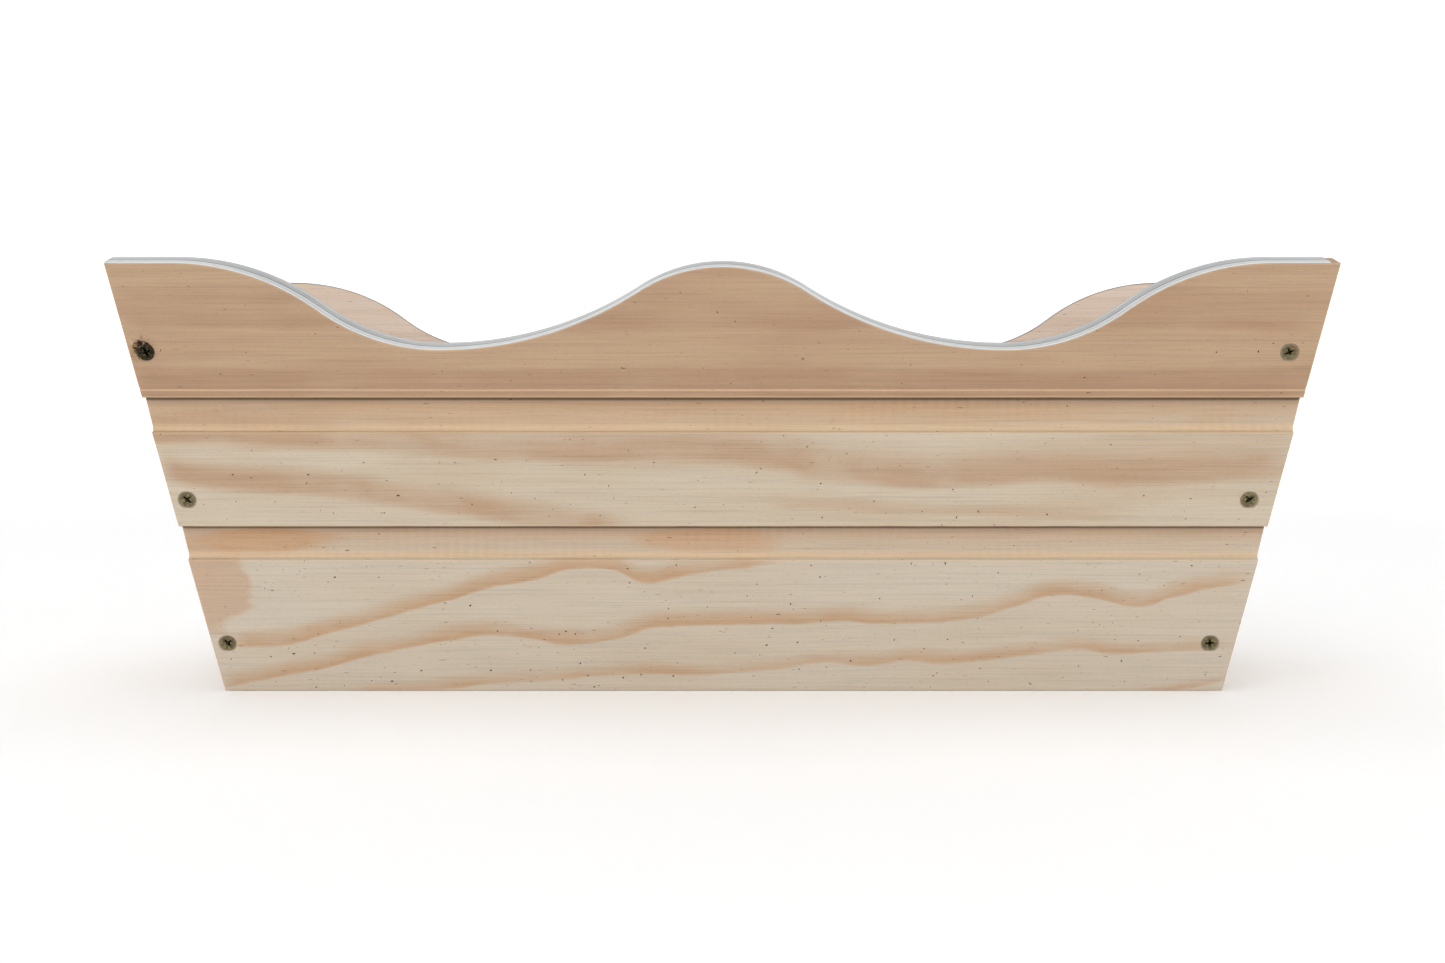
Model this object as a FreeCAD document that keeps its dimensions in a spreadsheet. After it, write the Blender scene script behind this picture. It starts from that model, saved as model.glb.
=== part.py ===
"""Hay rack feeder: an open wooden trough of shiplap boards, with metal guards on its rim.

The long sides lean outwards and have a scalloped rim with two dips. The ends lean outwards
too, stand between the long sides and are screwed to them. A floor board closes the bottom.

Millimetres. +X runs along the trough, the front faces -Y, +Z is up, and the origin is the
middle of the underside. Every board is sawn from one kind of stock: a lip at the bottom that
laps over the tongue of the board below, and a cove under the next board's lip.
"""
import FreeCAD
import Part
import Sketcher
import os
from math import atan2

doc = FreeCAD.newDocument("HayRackFeeder")

# Driving dimensions

SIZES = [
    ("base_length", 527.0, "length of the long sides at their bottom edge"),
    ("base_depth", 102.6, "front face to back face at the bottom edge"),
    ("side_lean", 15.5, "long sides from the vertical, degrees"),
    ("end_lean", 10.06, "ends from the vertical, degrees"),
    ("side_slant", 230.0, "bottom edge to rim of a long side, along its face"),
    ("board_thick", 14.0, "thickness of every board"),
    ("end_inset", 1.0, "long boards run past the outer face of the ends"),
    ("end_shift", 5.0, "the right end stands further in, and long guards stop with it"),
    ("joint_gap", 0.05, "clearance where boards butt"),
    ("floor_thick", 14.0, "thickness of the floor board"),
    ("lower_lip", 92.5, "bottom edge to the middle board's lip, along the face"),
    ("upper_lip", 161.3, "bottom edge to the upper board's lip, along the face"),
    ("cove_height", 18.0, "exposed height of a cove under a lip"),
    ("cove_radius", 3.4, "curve at the foot of a cove"),
    ("lip_thick", 4.4, "thickness of a lip"),
    ("lap_gap", 0.2, "clearance all round a tongue behind its lip"),
    ("lap_height", 8.0, "how far a tongue goes up behind a lip"),
    ("lip_round", 0.8, "rounding of a lip's lower front edge"),
    ("foot_round", 1.2, "rounding of a lowest board's bottom front edge"),
    ("groove_rise", 3.7, "lip to the groove on an upper board"),
    ("groove_width", 2.8, "width of that groove"),
    ("groove_radius", 2.65, "radius of that groove's hollow"),
    ("plateau_end", 270.0, "middle of the rim to where its level end stretch begins"),
    ("shoulder_radius", 115.0, "round shoulder beside the level stretch"),
    ("valley_place", 141.0, "middle of the rim to the bottom of a dip"),
    ("valley_drop", 44.0, "rim level down to the bottom of a dip"),
    ("crest_drop", 2.0, "rim level down to the middle crest"),
    ("crest_radius", 75.0, "round top of the middle crest"),
    ("guard_thick", 0.5, "thickness of the metal guards"),
    ("head_dia", 8.7, "screw head"),
    ("screw_dia", 4.0, "mean of a screw's thread and core"),
    ("screw_length", 40.0, "screws of the long sides, whole length"),
    ("floor_screw_length", 30.0, "screws of the floor, whole length"),
    ("screw_point", 5.0, "tapered point of a screw"),
    ("screw_sink", 0.5, "head below the wood"),
    ("screw_gap", 0.05, "clearance all round a screw"),
    ("recess_span", 4.8, "cross recess, tip to tip"),
    ("recess_width", 0.9, "width of one arm of the recess"),
    ("recess_deep", 1.6, "depth of the recess"),
    ("lower_screw", 27.4, "bottom edge to the screw in a lower board"),
    ("middle_screw", 107.1, "bottom edge to the screw in a middle board"),
    ("upper_screw", 184.9, "bottom edge to the screw in an upper board"),
    ("floor_screw_place", 20.0, "middle of an end to a floor screw"),
]

sizes = doc.addObject("Spreadsheet::Sheet", "Sizes")
for row, (alias, value, meaning) in enumerate(SIZES, start=1):
    sizes.set(f"A{row}", meaning)
    sizes.set(f"B{row}", str(value))
    sizes.setAlias(f"B{row}", alias)
doc.recompute()


def bind(item, **expressions):
    """Tie properties of an object to the sheet. Two underscores stand for a dot."""
    for name, text in expressions.items():
        item.setExpression(name.replace("__", "."), text)


def worked_out(text):
    """The number that an expression gives."""
    return float(sizes.evalExpression(text))


# What several pieces share, as expressions on the sheet

THICK = "Sizes.board_thick"
RIM_RISE = "Sizes.side_slant * cos(Sizes.side_lean)"
END_SLANT = (f"({RIM_RISE} + {THICK} * (sin(Sizes.side_lean) - sin(Sizes.end_lean)))"
             " / cos(Sizes.end_lean)")
TONGUE_FACE = "Sizes.lip_thick + Sizes.lap_gap"
REACH = "(Sizes.base_length + Sizes.side_slant)"


def side_face(height, inwards="0"):
    """Half the depth between planes parallel to the long sides, at a height."""
    return (f"(Sizes.base_depth / 2 + ({height}) * tan(Sizes.side_lean)"
            f" - ({inwards}) / cos(Sizes.side_lean))")


def end_face(height, inwards="0"):
    """Half the length between planes parallel to the ends, at a height."""
    return (f"(Sizes.base_length / 2 + ({height}) * tan(Sizes.end_lean)"
            f" - ({inwards}) / cos(Sizes.end_lean))")


# Sketched outlines

def draw_outline(sketch, corners):
    """Close an outline through corners (across, up, arc to the next one or None).

    An arc is (radius, turn): turn +1 goes round anticlockwise, -1 clockwise.
    """
    places = [(worked_out(across), worked_out(up)) for across, up, _ in corners]
    starts = []
    ends = []
    for index, (_, _, arc) in enumerate(corners):
        here = FreeCAD.Vector(*places[index], 0)
        there = FreeCAD.Vector(*places[(index + 1) % len(places)], 0)
        if arc is None:
            edge = sketch.addGeometry(Part.LineSegment(here, there))
            starts.append((edge, 1))
            ends.append((edge, 2))
            continue
        radius_text, turn = arc
        radius = worked_out(radius_text)
        half = (there - here) * 0.5
        rise = (radius ** 2 - half.Length ** 2) ** 0.5 / half.Length
        centre = here + half + FreeCAD.Vector(-half.y, half.x, 0) * (rise * turn)
        first, last = (here, there) if turn > 0 else (there, here)
        angles = [atan2(point.y - centre.y, point.x - centre.x) for point in (first, last)]
        circle = Part.Circle(centre, FreeCAD.Vector(0, 0, 1), radius)
        edge = sketch.addGeometry(Part.ArcOfCircle(circle, angles[0], angles[1]))
        starts.append((edge, 1 if turn > 0 else 2))
        ends.append((edge, 2 if turn > 0 else 1))
        number = sketch.addConstraint(Sketcher.Constraint("Radius", edge, radius))
        sketch.setExpression(f"Constraints[{number}]", radius_text)
    for index, (across, up, _) in enumerate(corners):
        edge, point = starts[index]
        sketch.addConstraint(Sketcher.Constraint("Coincident", *ends[index - 1], edge, point))
        for kind, text, value in (("DistanceX", across, places[index][0]),
                                  ("DistanceY", up, places[index][1])):
            number = sketch.addConstraint(Sketcher.Constraint(kind, -1, 1, edge, point, value))
            sketch.setExpression(f"Constraints[{number}]", text)


def sketch_in(body, name, plane, corners):
    """A closed outline on one of a body's own origin planes."""
    sketch = body.newObject("Sketcher::SketchObject", name)
    support = next(item for item in body.Origin.OriginFeatures if item.Role == plane)
    sketch.AttachmentSupport = [(support, "")]
    sketch.MapMode = "FlatFace"
    draw_outline(sketch, corners)
    return sketch


def padded_body(name, plane, corners, length, inwards_only=False):
    """A body with one padded outline, as deep on both sides of its plane or all inwards."""
    body = doc.addObject("PartDesign::Body", name)
    pad = body.newObject("PartDesign::Pad", name + "_pad")
    pad.Profile = sketch_in(body, name + "_outline", plane, corners)
    pad.SideType = "One side" if inwards_only else "Symmetric"
    pad.Reversed = inwards_only
    bind(pad, Length=length)
    return body


def turned_body(name, corners):
    """A body turned round its own Z axis."""
    body = doc.addObject("PartDesign::Body", name)
    sketch = sketch_in(body, name + "_outline", "XZ_Plane", corners)
    turning = body.newObject("PartDesign::Revolution", name + "_turning")
    turning.Profile = sketch
    turning.ReferenceAxis = (sketch, ["V_Axis"])
    turning.Angle = 360.0
    return body


def board_section(course, top):
    """Cross-section of a board: depth from its outer face, and height along that face."""
    lip = {"lower": "0", "middle": "Sizes.lower_lip", "upper": "Sizes.upper_lip"}[course]
    if course == "lower":
        corners = [
            ("0", "Sizes.foot_round", ("Sizes.foot_round", 1)),
            ("Sizes.foot_round", "0", None),
            (THICK, "0", None),
        ]
    else:
        rebate = f"{lip} + Sizes.lap_height + Sizes.lap_gap"
        corners = [
            ("0", f"{lip} + Sizes.lip_round", ("Sizes.lip_round", 1)),
            ("Sizes.lip_round", lip, None),
            ("Sizes.lip_thick", lip, None),
            ("Sizes.lip_thick", rebate, None),
            (THICK, rebate, None),
        ]
    if course == "upper":
        groove = f"{lip} + Sizes.groove_rise"
        return corners + [
            (THICK, top, None),
            ("0", top, None),
            ("0", f"{groove} + Sizes.groove_width", ("Sizes.groove_radius", -1)),
            ("0", groove, None),
        ]
    next_lip = {"lower": "Sizes.lower_lip", "middle": "Sizes.upper_lip"}[course]
    tongue = f"{next_lip} + Sizes.lap_height"
    foot = f"{next_lip} - Sizes.cove_height"
    return corners + [
        (THICK, tongue, None),
        (TONGUE_FACE, tongue, None),
        (TONGUE_FACE, next_lip, None),
        ("Sizes.cove_radius", f"{foot} + Sizes.cove_radius", ("Sizes.cove_radius", -1)),
        ("0", foot, None),
    ]


def rim_outline(lift, side_reach, foot):
    """Outline of everything below the scalloped rim, raised by a lift square to the rim.

    The rim is level at each end, rolls over a shoulder into a dip and rises to the crest:
    tangent arcs, whose two dip radii follow from the shoulder, the crest and the dip.
    """
    level = f"(Sizes.side_slant + {lift})"
    valley = f"(Sizes.side_slant - Sizes.valley_drop + {lift})"
    crest = f"(Sizes.side_slant - Sizes.crest_drop + {lift})"

    def roll_in(round_place, round_top, round_radius):
        """Dip radius and meeting point for a round that starts level at its top."""
        away = f"({round_place} - Sizes.valley_place)"
        above = f"({valley} - ({round_top} - {round_radius}))"
        dip = (f"(({away} ^ 2 + {above} ^ 2 - {round_radius} ^ 2)"
               f" / (2 * ({round_radius} - {above})))")
        share = f"({round_radius} / ({round_radius} + {dip}))"
        across = f"({round_place} - {away} * {share})"
        up = (f"({round_top} - {round_radius} + ({valley} + {dip}"
              f" - {round_top} + {round_radius}) * {share})")
        return dip, across, up

    shoulder = f"(Sizes.shoulder_radius + {lift})"
    middle = f"(Sizes.crest_radius + {lift})"
    outer_dip, outer_x, outer_up = roll_in("Sizes.plateau_end", level, shoulder)
    inner_dip, inner_x, inner_up = roll_in("0", crest, middle)
    return [
        (f"-{side_reach}", foot, None),
        (side_reach, foot, None),
        (side_reach, level, None),
        ("Sizes.plateau_end", level, (shoulder, 1)),
        (outer_x, outer_up, (outer_dip, -1)),
        ("Sizes.valley_place", valley, (inner_dip, -1)),
        (inner_x, inner_up, (middle, 1)),
        (f"-{inner_x}", inner_up, (inner_dip, -1)),
        ("-Sizes.valley_place", valley, (outer_dip, -1)),
        (f"-{outer_x}", outer_up, (shoulder, 1)),
        ("-Sizes.plateau_end", level, None),
        (f"-{side_reach}", level, None),
    ]


# Where leaning pieces stand: a place on an outer face, and a lean or a direction there

ALONG = FreeCAD.Vector(1, 0, 0)
BACKWARDS = FreeCAD.Vector(0, -1, 0)


def stand(item, axis, angle, across="0", depth="0", height="0"):
    """Turn a piece about an axis and put it at a place."""
    item.Placement = FreeCAD.Placement(FreeCAD.Vector(), FreeCAD.Rotation(axis, 1.0))
    bind(item, Placement__Base__x=across, Placement__Base__y=depth, Placement__Base__z=height,
         Placement__Rotation__Angle=angle)


def lean_on_front(item):
    """Stand a piece on the bottom edge of the front, leaning outwards."""
    stand(item, ALONG, "Sizes.side_lean", depth=f"-{side_face('0')}")


def lean_on_left(item):
    """Stand a piece on the bottom edge of the left end, leaning outwards."""
    stand(item, BACKWARDS, "Sizes.end_lean", across=f"-{end_face('0', 'Sizes.end_inset')}")


# Solids that trim the boards

def flared_block(name, low, high, half_length, half_depth, right_short="0"):
    """A block between two heights whose four sides lean as the trough's do."""
    block = doc.addObject("Part::Wedge", name)
    block.Placement = FreeCAD.Placement(FreeCAD.Vector(), FreeCAD.Rotation(ALONG, 90))
    bind(block, Ymin=low, Ymax=high,
         Xmin=f"-{half_length(low)}", Xmax=f"{half_length(low)} - {right_short}",
         X2min=f"-{half_length(high)}", X2max=f"{half_length(high)} - {right_short}",
         Zmin=f"-{half_depth(low)}", Zmax=half_depth(low),
         Z2min=f"-{half_depth(high)}", Z2max=half_depth(high))
    return block


def far(_height):
    """A reach past everything, whatever the height."""
    return REACH


def common(name, *pieces):
    """What several solids have in common."""
    kept = doc.addObject("Part::MultiCommon", name)
    kept.Shapes = list(pieces)
    return kept


def cut(name, base, tool):
    """A solid less a tool."""
    rest = doc.addObject("Part::Cut", name)
    rest.Base = base
    rest.Tool = tool
    return rest


def group(name, pieces):
    """Separate solids kept together."""
    together = doc.addObject("Part::Compound", name)
    together.Links = pieces
    return together


def mirrored(name, source, normal):
    """A mirror image. What belongs to the left end lands on the right end, shifted inwards."""
    image = doc.addObject("Part::Mirroring", name)
    image.Source = source
    image.Normal = normal
    if normal == LEFT_TO_RIGHT:
        bind(image, Base__x="-Sizes.end_shift / 2")
    return image


LEFT_TO_RIGHT = FreeCAD.Vector(1, 0, 0)
FRONT_TO_BACK = FreeCAD.Vector(0, 1, 0)
TRIM_LOW = "(-4 * Sizes.board_thick)"
TRIM_HIGH = "(Sizes.side_slant + 4 * Sizes.board_thick)"

between_end_cuts = flared_block("between_end_cuts", TRIM_LOW, TRIM_HIGH, end_face, far)
between_guard_ends = flared_block("between_guard_ends", TRIM_LOW, TRIM_HIGH, end_face, far,
                                  right_short="Sizes.end_shift")
between_sides = flared_block(
    "between_sides", TRIM_LOW, TRIM_HIGH, far,
    lambda height: side_face(height, f"{THICK} + Sizes.joint_gap"))
below_rim = padded_body("below_rim", "XZ_Plane", rim_outline("0", REACH, TRIM_LOW),
                        f"4 * {THICK}")
lean_on_front(below_rim)


# Screws and the holes they are driven into, head at the top and point down their Z axis

SCREW_RADIUS = "Sizes.screw_dia / 2"
HEAD_RADIUS = "Sizes.head_dia / 2"
HEAD_FOOT = f"-(Sizes.screw_sink + {HEAD_RADIUS} - {SCREW_RADIUS})"
POINT_RADIUS = "Sizes.screw_dia / 10"


def screw(name, length):
    """A countersunk screw with a cross recess."""
    tip = f"-(Sizes.screw_sink + {length})"
    body = turned_body(name, [
        ("0", tip, None),
        (POINT_RADIUS, tip, None),
        (SCREW_RADIUS, f"{tip} + Sizes.screw_point", None),
        (SCREW_RADIUS, HEAD_FOOT, None),
        (HEAD_RADIUS, "-Sizes.screw_sink", None),
        ("0", "-Sizes.screw_sink", None),
    ])
    span = "Sizes.recess_span / 2"
    arm = "Sizes.recess_width / 2"
    quarter = [(span, arm), (arm, arm), (arm, span)]
    cross = []
    for sign_x, sign_y in ((1, 1), (-1, 1), (-1, -1), (1, -1)):
        corners = quarter if sign_x * sign_y > 0 else quarter[::-1]
        cross += [(f"{sign_x} * {x}", f"{sign_y} * {y}", None) for x, y in corners]
    sketch = sketch_in(body, name + "_cross", "XY_Plane", cross)
    bind(sketch, AttachmentOffset__Base__z="-Sizes.screw_sink")
    pocket = body.newObject("PartDesign::Pocket", name + "_recess")
    pocket.Profile = sketch
    bind(pocket, Length="Sizes.recess_deep")
    body.Tip = pocket
    return body


def screw_hole(name, length):
    """A hole that fits a screw all round, its countersink run out past the face."""
    tip = f"-(Sizes.screw_sink + {length} + Sizes.screw_gap)"
    above = THICK
    return turned_body(name, [
        ("0", tip, None),
        (f"{POINT_RADIUS} + Sizes.screw_gap", tip, None),
        (f"{SCREW_RADIUS} + Sizes.screw_gap", f"{tip} + Sizes.screw_point", None),
        (f"{SCREW_RADIUS} + Sizes.screw_gap", HEAD_FOOT, None),
        (f"{HEAD_RADIUS} + Sizes.screw_gap + Sizes.screw_sink + {above}", above, None),
        ("0", above, None),
    ])


def side_screw_place(item, slant):
    """On the front, over the middle of the left end's thickness, square to the face."""
    height = f"({slant} * cos(Sizes.side_lean))"
    stand(item, ALONG, "90 + Sizes.side_lean",
          across=f"-{end_face(height, 'Sizes.end_inset + ' + THICK + ' / 2')}",
          depth=f"-{side_face(height)}", height=height)


def floor_screw_place(item, depth):
    """Level, through the left end into the middle of the floor board's edge.

    The end leans over the level screw, so the head goes in until its lower edge is sunk too.
    """
    height = "(Sizes.floor_thick / 2)"
    head_dip = f"{HEAD_RADIUS} * tan(Sizes.end_lean)"
    stand(item, BACKWARDS, "90",
          across=f"{head_dip} - {end_face(height, 'Sizes.end_inset')}", depth=depth, height=height)


COURSES = ("lower", "middle", "upper")

side_screws = []
side_holes = []
for course in COURSES:
    for make, made in ((screw, side_screws), (screw_hole, side_holes)):
        piece = make(f"{course}_side_{make.__name__}", "Sizes.screw_length")
        side_screw_place(piece, f"Sizes.{course}_screw")
        made.append(piece)

floor_screws = []
floor_holes = []
for side, depth in (("front", "-Sizes.floor_screw_place"), ("back", "Sizes.floor_screw_place")):
    for make, made in ((screw, floor_screws), (screw_hole, floor_holes)):
        piece = make(f"{side}_floor_{make.__name__}", "Sizes.floor_screw_length")
        floor_screw_place(piece, depth)
        made.append(piece)

front_left_holes = group("front_left_holes", side_holes)
front_right_holes = mirrored("front_right_holes", front_left_holes, LEFT_TO_RIGHT)
back_left_holes = mirrored("back_left_holes", front_left_holes, FRONT_TO_BACK)
left_floor_holes = group("left_floor_holes", floor_holes)
right_floor_holes = mirrored("right_floor_holes", left_floor_holes, LEFT_TO_RIGHT)
holes_in_front = group("holes_in_front", [front_left_holes, front_right_holes])
holes_in_left = group("holes_in_left", [front_left_holes, back_left_holes, left_floor_holes])
holes_in_floor = group("holes_in_floor", [left_floor_holes, right_floor_holes])


# The pieces of the trough

nodes = {}

for course in COURSES:
    over_rim = f"Sizes.side_slant + {THICK}"
    blank = padded_body(f"front_{course}_blank", "YZ_Plane", board_section(course, over_rim),
                        f"2 * {REACH}")
    lean_on_front(blank)
    trims = [blank, between_end_cuts] + ([below_rim] if course == "upper" else [])
    sawn = common(f"front_{course}_sawn", *trims)
    front = cut(f"front_{course}", sawn, holes_in_front)
    nodes[f"front_{course}_board"] = front
    nodes[f"back_{course}_board"] = mirrored(f"back_{course}", front, FRONT_TO_BACK)

    blank = padded_body(f"left_{course}_blank", "XZ_Plane", board_section(course, END_SLANT),
                        f"2 * {REACH}")
    lean_on_left(blank)
    sawn = common(f"left_{course}_sawn", blank, between_sides)
    left = cut(f"left_{course}", sawn, holes_in_left)
    nodes[f"left_{course}_board"] = left
    nodes[f"right_{course}_board"] = mirrored(f"right_{course}", left, LEFT_TO_RIGHT)

floor_blank = flared_block(
    "floor_blank", "0", "Sizes.floor_thick",
    lambda height: end_face(height, f"Sizes.end_inset + {THICK} + Sizes.joint_gap"),
    lambda height: side_face(height, f"{THICK} + Sizes.joint_gap"),
    right_short="Sizes.end_shift")
nodes["floor_board"] = cut("floor", floor_blank, holes_in_floor)

guard_blank = padded_body(
    "front_guard_blank", "XZ_Plane",
    rim_outline("Sizes.guard_thick", f"({REACH} - {THICK})", "0"), THICK, inwards_only=True)
lean_on_front(guard_blank)
guard_strip = cut("front_guard_strip", guard_blank, below_rim)
front_guard = common("front_guard", guard_strip, between_guard_ends)
nodes["front_rim_guard"] = front_guard
nodes["back_rim_guard"] = mirrored("back_guard", front_guard, FRONT_TO_BACK)

end_guard_blank = padded_body("left_guard_blank", "XZ_Plane", [
    ("0", END_SLANT, None),
    (THICK, END_SLANT, None),
    (THICK, f"{END_SLANT} + Sizes.guard_thick", None),
    ("0", f"{END_SLANT} + Sizes.guard_thick", None),
], f"2 * {REACH}")
lean_on_left(end_guard_blank)
left_guard = common("left_guard", end_guard_blank, between_sides)
nodes["left_rim_guard"] = left_guard
nodes["right_rim_guard"] = mirrored("right_guard", left_guard, LEFT_TO_RIGHT)

front_left = group("front_left", side_screws)
front_right = mirrored("front_right", front_left, LEFT_TO_RIGHT)
nodes["front_left_screws"] = front_left
nodes["front_right_screws"] = front_right
nodes["back_left_screws"] = mirrored("back_left", front_left, FRONT_TO_BACK)
nodes["back_right_screws"] = mirrored("back_right", front_right, FRONT_TO_BACK)
left_floor = group("left_floor", floor_screws)
nodes["left_floor_screws"] = left_floor
nodes["right_floor_screws"] = mirrored("right_floor", left_floor, LEFT_TO_RIGHT)

for name, piece in nodes.items():
    piece.Label = name


# Check the document, then write one file for each node

doc.recompute()
failed = [item.Label for item in doc.Objects if {"Invalid", "Error"} & set(item.State)]
failed += [name for name, piece in nodes.items()
           if piece.Shape.isNull() or not piece.Shape.isValid() or not piece.Shape.Solids]
if failed:
    raise SystemExit("failed: " + ", ".join(failed))

for body in side_screws + floor_screws:
    turning, recess = body.Group[1], body.Tip
    if not recess.Shape.Volume < turning.Shape.Volume:
        raise SystemExit(f"{body.Label}: the recess cuts nothing")

os.makedirs("parts", exist_ok=True)
for name, piece in nodes.items():
    piece.Shape.exportStep(f"parts/{name}.step")
    print(f"{name}: {len(piece.Shape.Solids)} solid(s), {piece.Shape.Volume:.0f} cubic mm")
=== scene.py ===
# %% [markdown]
# # A wooden hay trough
# This lesson builds a small hay trough for rabbits: four leaning walls of shiplap pine, a floor
# board, thin metal guards on the scalloped rim, and countersunk screws. The engineering model
# comes in first, as a fixed frame. Every piece made here stands exactly where that frame says.

# %% Load the frame
import bpy
import bmesh
import random
from math import cos, pi, radians, sin, sqrt, tan
from mathutils import Matrix, Vector, noise


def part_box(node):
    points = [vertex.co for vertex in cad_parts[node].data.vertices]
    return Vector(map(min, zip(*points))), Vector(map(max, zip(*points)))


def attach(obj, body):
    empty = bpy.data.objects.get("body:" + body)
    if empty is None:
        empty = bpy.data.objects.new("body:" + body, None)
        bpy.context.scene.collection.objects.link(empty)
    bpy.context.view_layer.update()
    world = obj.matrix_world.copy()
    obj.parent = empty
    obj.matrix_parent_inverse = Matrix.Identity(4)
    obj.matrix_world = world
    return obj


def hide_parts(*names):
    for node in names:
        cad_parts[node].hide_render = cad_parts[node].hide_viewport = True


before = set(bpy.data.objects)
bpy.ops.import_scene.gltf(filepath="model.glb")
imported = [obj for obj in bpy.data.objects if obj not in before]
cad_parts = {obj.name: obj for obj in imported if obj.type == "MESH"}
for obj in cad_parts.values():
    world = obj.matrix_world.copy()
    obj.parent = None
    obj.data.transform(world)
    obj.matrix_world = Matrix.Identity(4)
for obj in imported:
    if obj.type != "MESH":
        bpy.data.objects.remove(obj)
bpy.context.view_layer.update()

# %% [markdown]
# ## The sizes that everything shares
# A maker works from a few numbers: how far the walls lean, how thick the stock is, where the
# laps fall. The same numbers are named here once. Blender works in metres, so millimetres are
# multiplied by `MM`. What can be read from the frame, such as the floor's thickness, is read.

# %% Driving sizes
MM = 0.001
SIDE_LEAN = radians(15.5)
END_LEAN = radians(10.06)
HALF_BASE_LENGTH = 263.5 * MM
HALF_BASE_DEPTH = 51.3 * MM
SLANT = 230 * MM
BOARD = 14 * MM
END_INSET = 1 * MM
END_SHIFT = 5 * MM
GAP = 0.05 * MM
FLOOR_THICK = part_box("floor_board")[1].z
LIPS = {"lower": 0.0, "middle": 92.5 * MM, "upper": 161.3 * MM}
NEXT_LIP = {"lower": LIPS["middle"], "middle": LIPS["upper"]}
SCREW_RISE = {"lower": 27.4 * MM, "middle": 107.1 * MM, "upper": 184.9 * MM}
COURSES = list(LIPS)
RIM_RISE = SLANT * cos(SIDE_LEAN)
END_SLANT = (RIM_RISE + BOARD * (sin(SIDE_LEAN) - sin(END_LEAN))) / cos(END_LEAN)
print(f"rim {RIM_RISE / MM:.1f} mm up, ends {END_SLANT / MM:.1f} mm along their slant")


# %% [markdown]
# ## Four walls, one way of building
# A board is easiest to think about lying in its own wall: *along* the wall, *depth* into the
# wood from its outer face, and *up* the slant. One matrix then stands that wall on its bottom
# edge, leans it outwards and turns it to its side of the trough. The back is the front turned
# half round, and the right end is the left end turned half round.

# %% Wall matrices
def stand(turn, out, lean):
    """From a wall's own frame to the trough's."""
    return (Matrix.Rotation(turn, 4, "Z") @ Matrix.Translation((0, -out, 0))
            @ Matrix.Rotation(lean, 4, "X"))


END_OUT = HALF_BASE_LENGTH - END_INSET / cos(END_LEAN)
WALLS = {
    "front": (0.0, HALF_BASE_DEPTH, SIDE_LEAN),
    "back": (pi, HALF_BASE_DEPTH, SIDE_LEAN),
    "left": (-pi / 2, END_OUT, END_LEAN),
    "right": (pi / 2, END_OUT - END_SHIFT, END_LEAN),
}


def half_length(wall, height):
    """How far a board of this wall runs each way at a height above the ground."""
    if wall in ("front", "back", "floor"):
        inset = END_INSET + BOARD + GAP if wall == "floor" else 0.0
        return HALF_BASE_LENGTH + height * tan(END_LEAN) - inset / cos(END_LEAN)
    return HALF_BASE_DEPTH + height * tan(SIDE_LEAN) - (BOARD + GAP) / cos(SIDE_LEAN)


print("walls:", ", ".join(WALLS))


# %% [markdown]
# ## The scalloped rim
# The rim is one smooth line made of arcs that meet without a corner: level, over a round
# shoulder, down into a dip, up to the middle crest, and the same again. Two arcs that touch
# have their centres exactly two radii apart, and that rule gives the radius of each dip. A
# line that runs a little above the rim, such as the top of the metal guard, has its rounds a
# little larger and its dips a little smaller, so the same function serves with a lift.

# %% Height of the rim
PLATEAU_END = 270 * MM
SHOULDER = 115 * MM
VALLEY_AT = 141 * MM
VALLEY_DROP = 44 * MM
CREST_DROP = 2 * MM
CREST = 75 * MM


def dip_radius(away, valley, round_top, round_radius):
    """Radius of a dip that touches a round whose centre is this far away."""
    above = valley - (round_top - round_radius)
    return (away ** 2 + above ** 2 - round_radius ** 2) / (2 * (round_radius - above))


def rim_up(along, lift=0.0):
    """Height of the rim, measured up the slant."""
    place = abs(along)
    top, valley, crest = SLANT + lift, SLANT - VALLEY_DROP + lift, SLANT - CREST_DROP + lift
    shoulder, middle = SHOULDER + lift, CREST + lift
    outer = dip_radius(PLATEAU_END - VALLEY_AT, valley, top, shoulder)
    inner = dip_radius(VALLEY_AT, valley, crest, middle)
    meet_out = PLATEAU_END - (PLATEAU_END - VALLEY_AT) * shoulder / (shoulder + outer)
    meet_in = VALLEY_AT * middle / (middle + inner)
    if place >= PLATEAU_END:
        return top
    if place > meet_out:
        return top - shoulder + sqrt(shoulder ** 2 - (PLATEAU_END - place) ** 2)
    if place > VALLEY_AT:
        return valley + outer - sqrt(outer ** 2 - (place - VALLEY_AT) ** 2)
    if place > meet_in:
        return valley + inner - sqrt(inner ** 2 - (VALLEY_AT - place) ** 2)
    return crest - middle + sqrt(middle ** 2 - place ** 2)


print("rim at the end, the dip and the crest:",
      [round(rim_up(place) / MM, 1) for place in (HALF_BASE_LENGTH, VALLEY_AT, 0.0)])


# %% [markdown]
# ## The section of a shiplap board
# Every board has a lip at its foot and a thin tongue at its head, with a hollow cove in front
# of the tongue. The outline is a list of corners, each with the radius that the planer left on
# it. Long straight runs get extra points: one close to each arris, to hold the rounding tight,
# and then one every few millimetres, so that the surface can carry small unevenness.

# %% A rounded outline
ARRIS_STEPS = 3
RUN_STEP = 6 * MM
NEAR_ARRIS = 0.7 * MM


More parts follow.
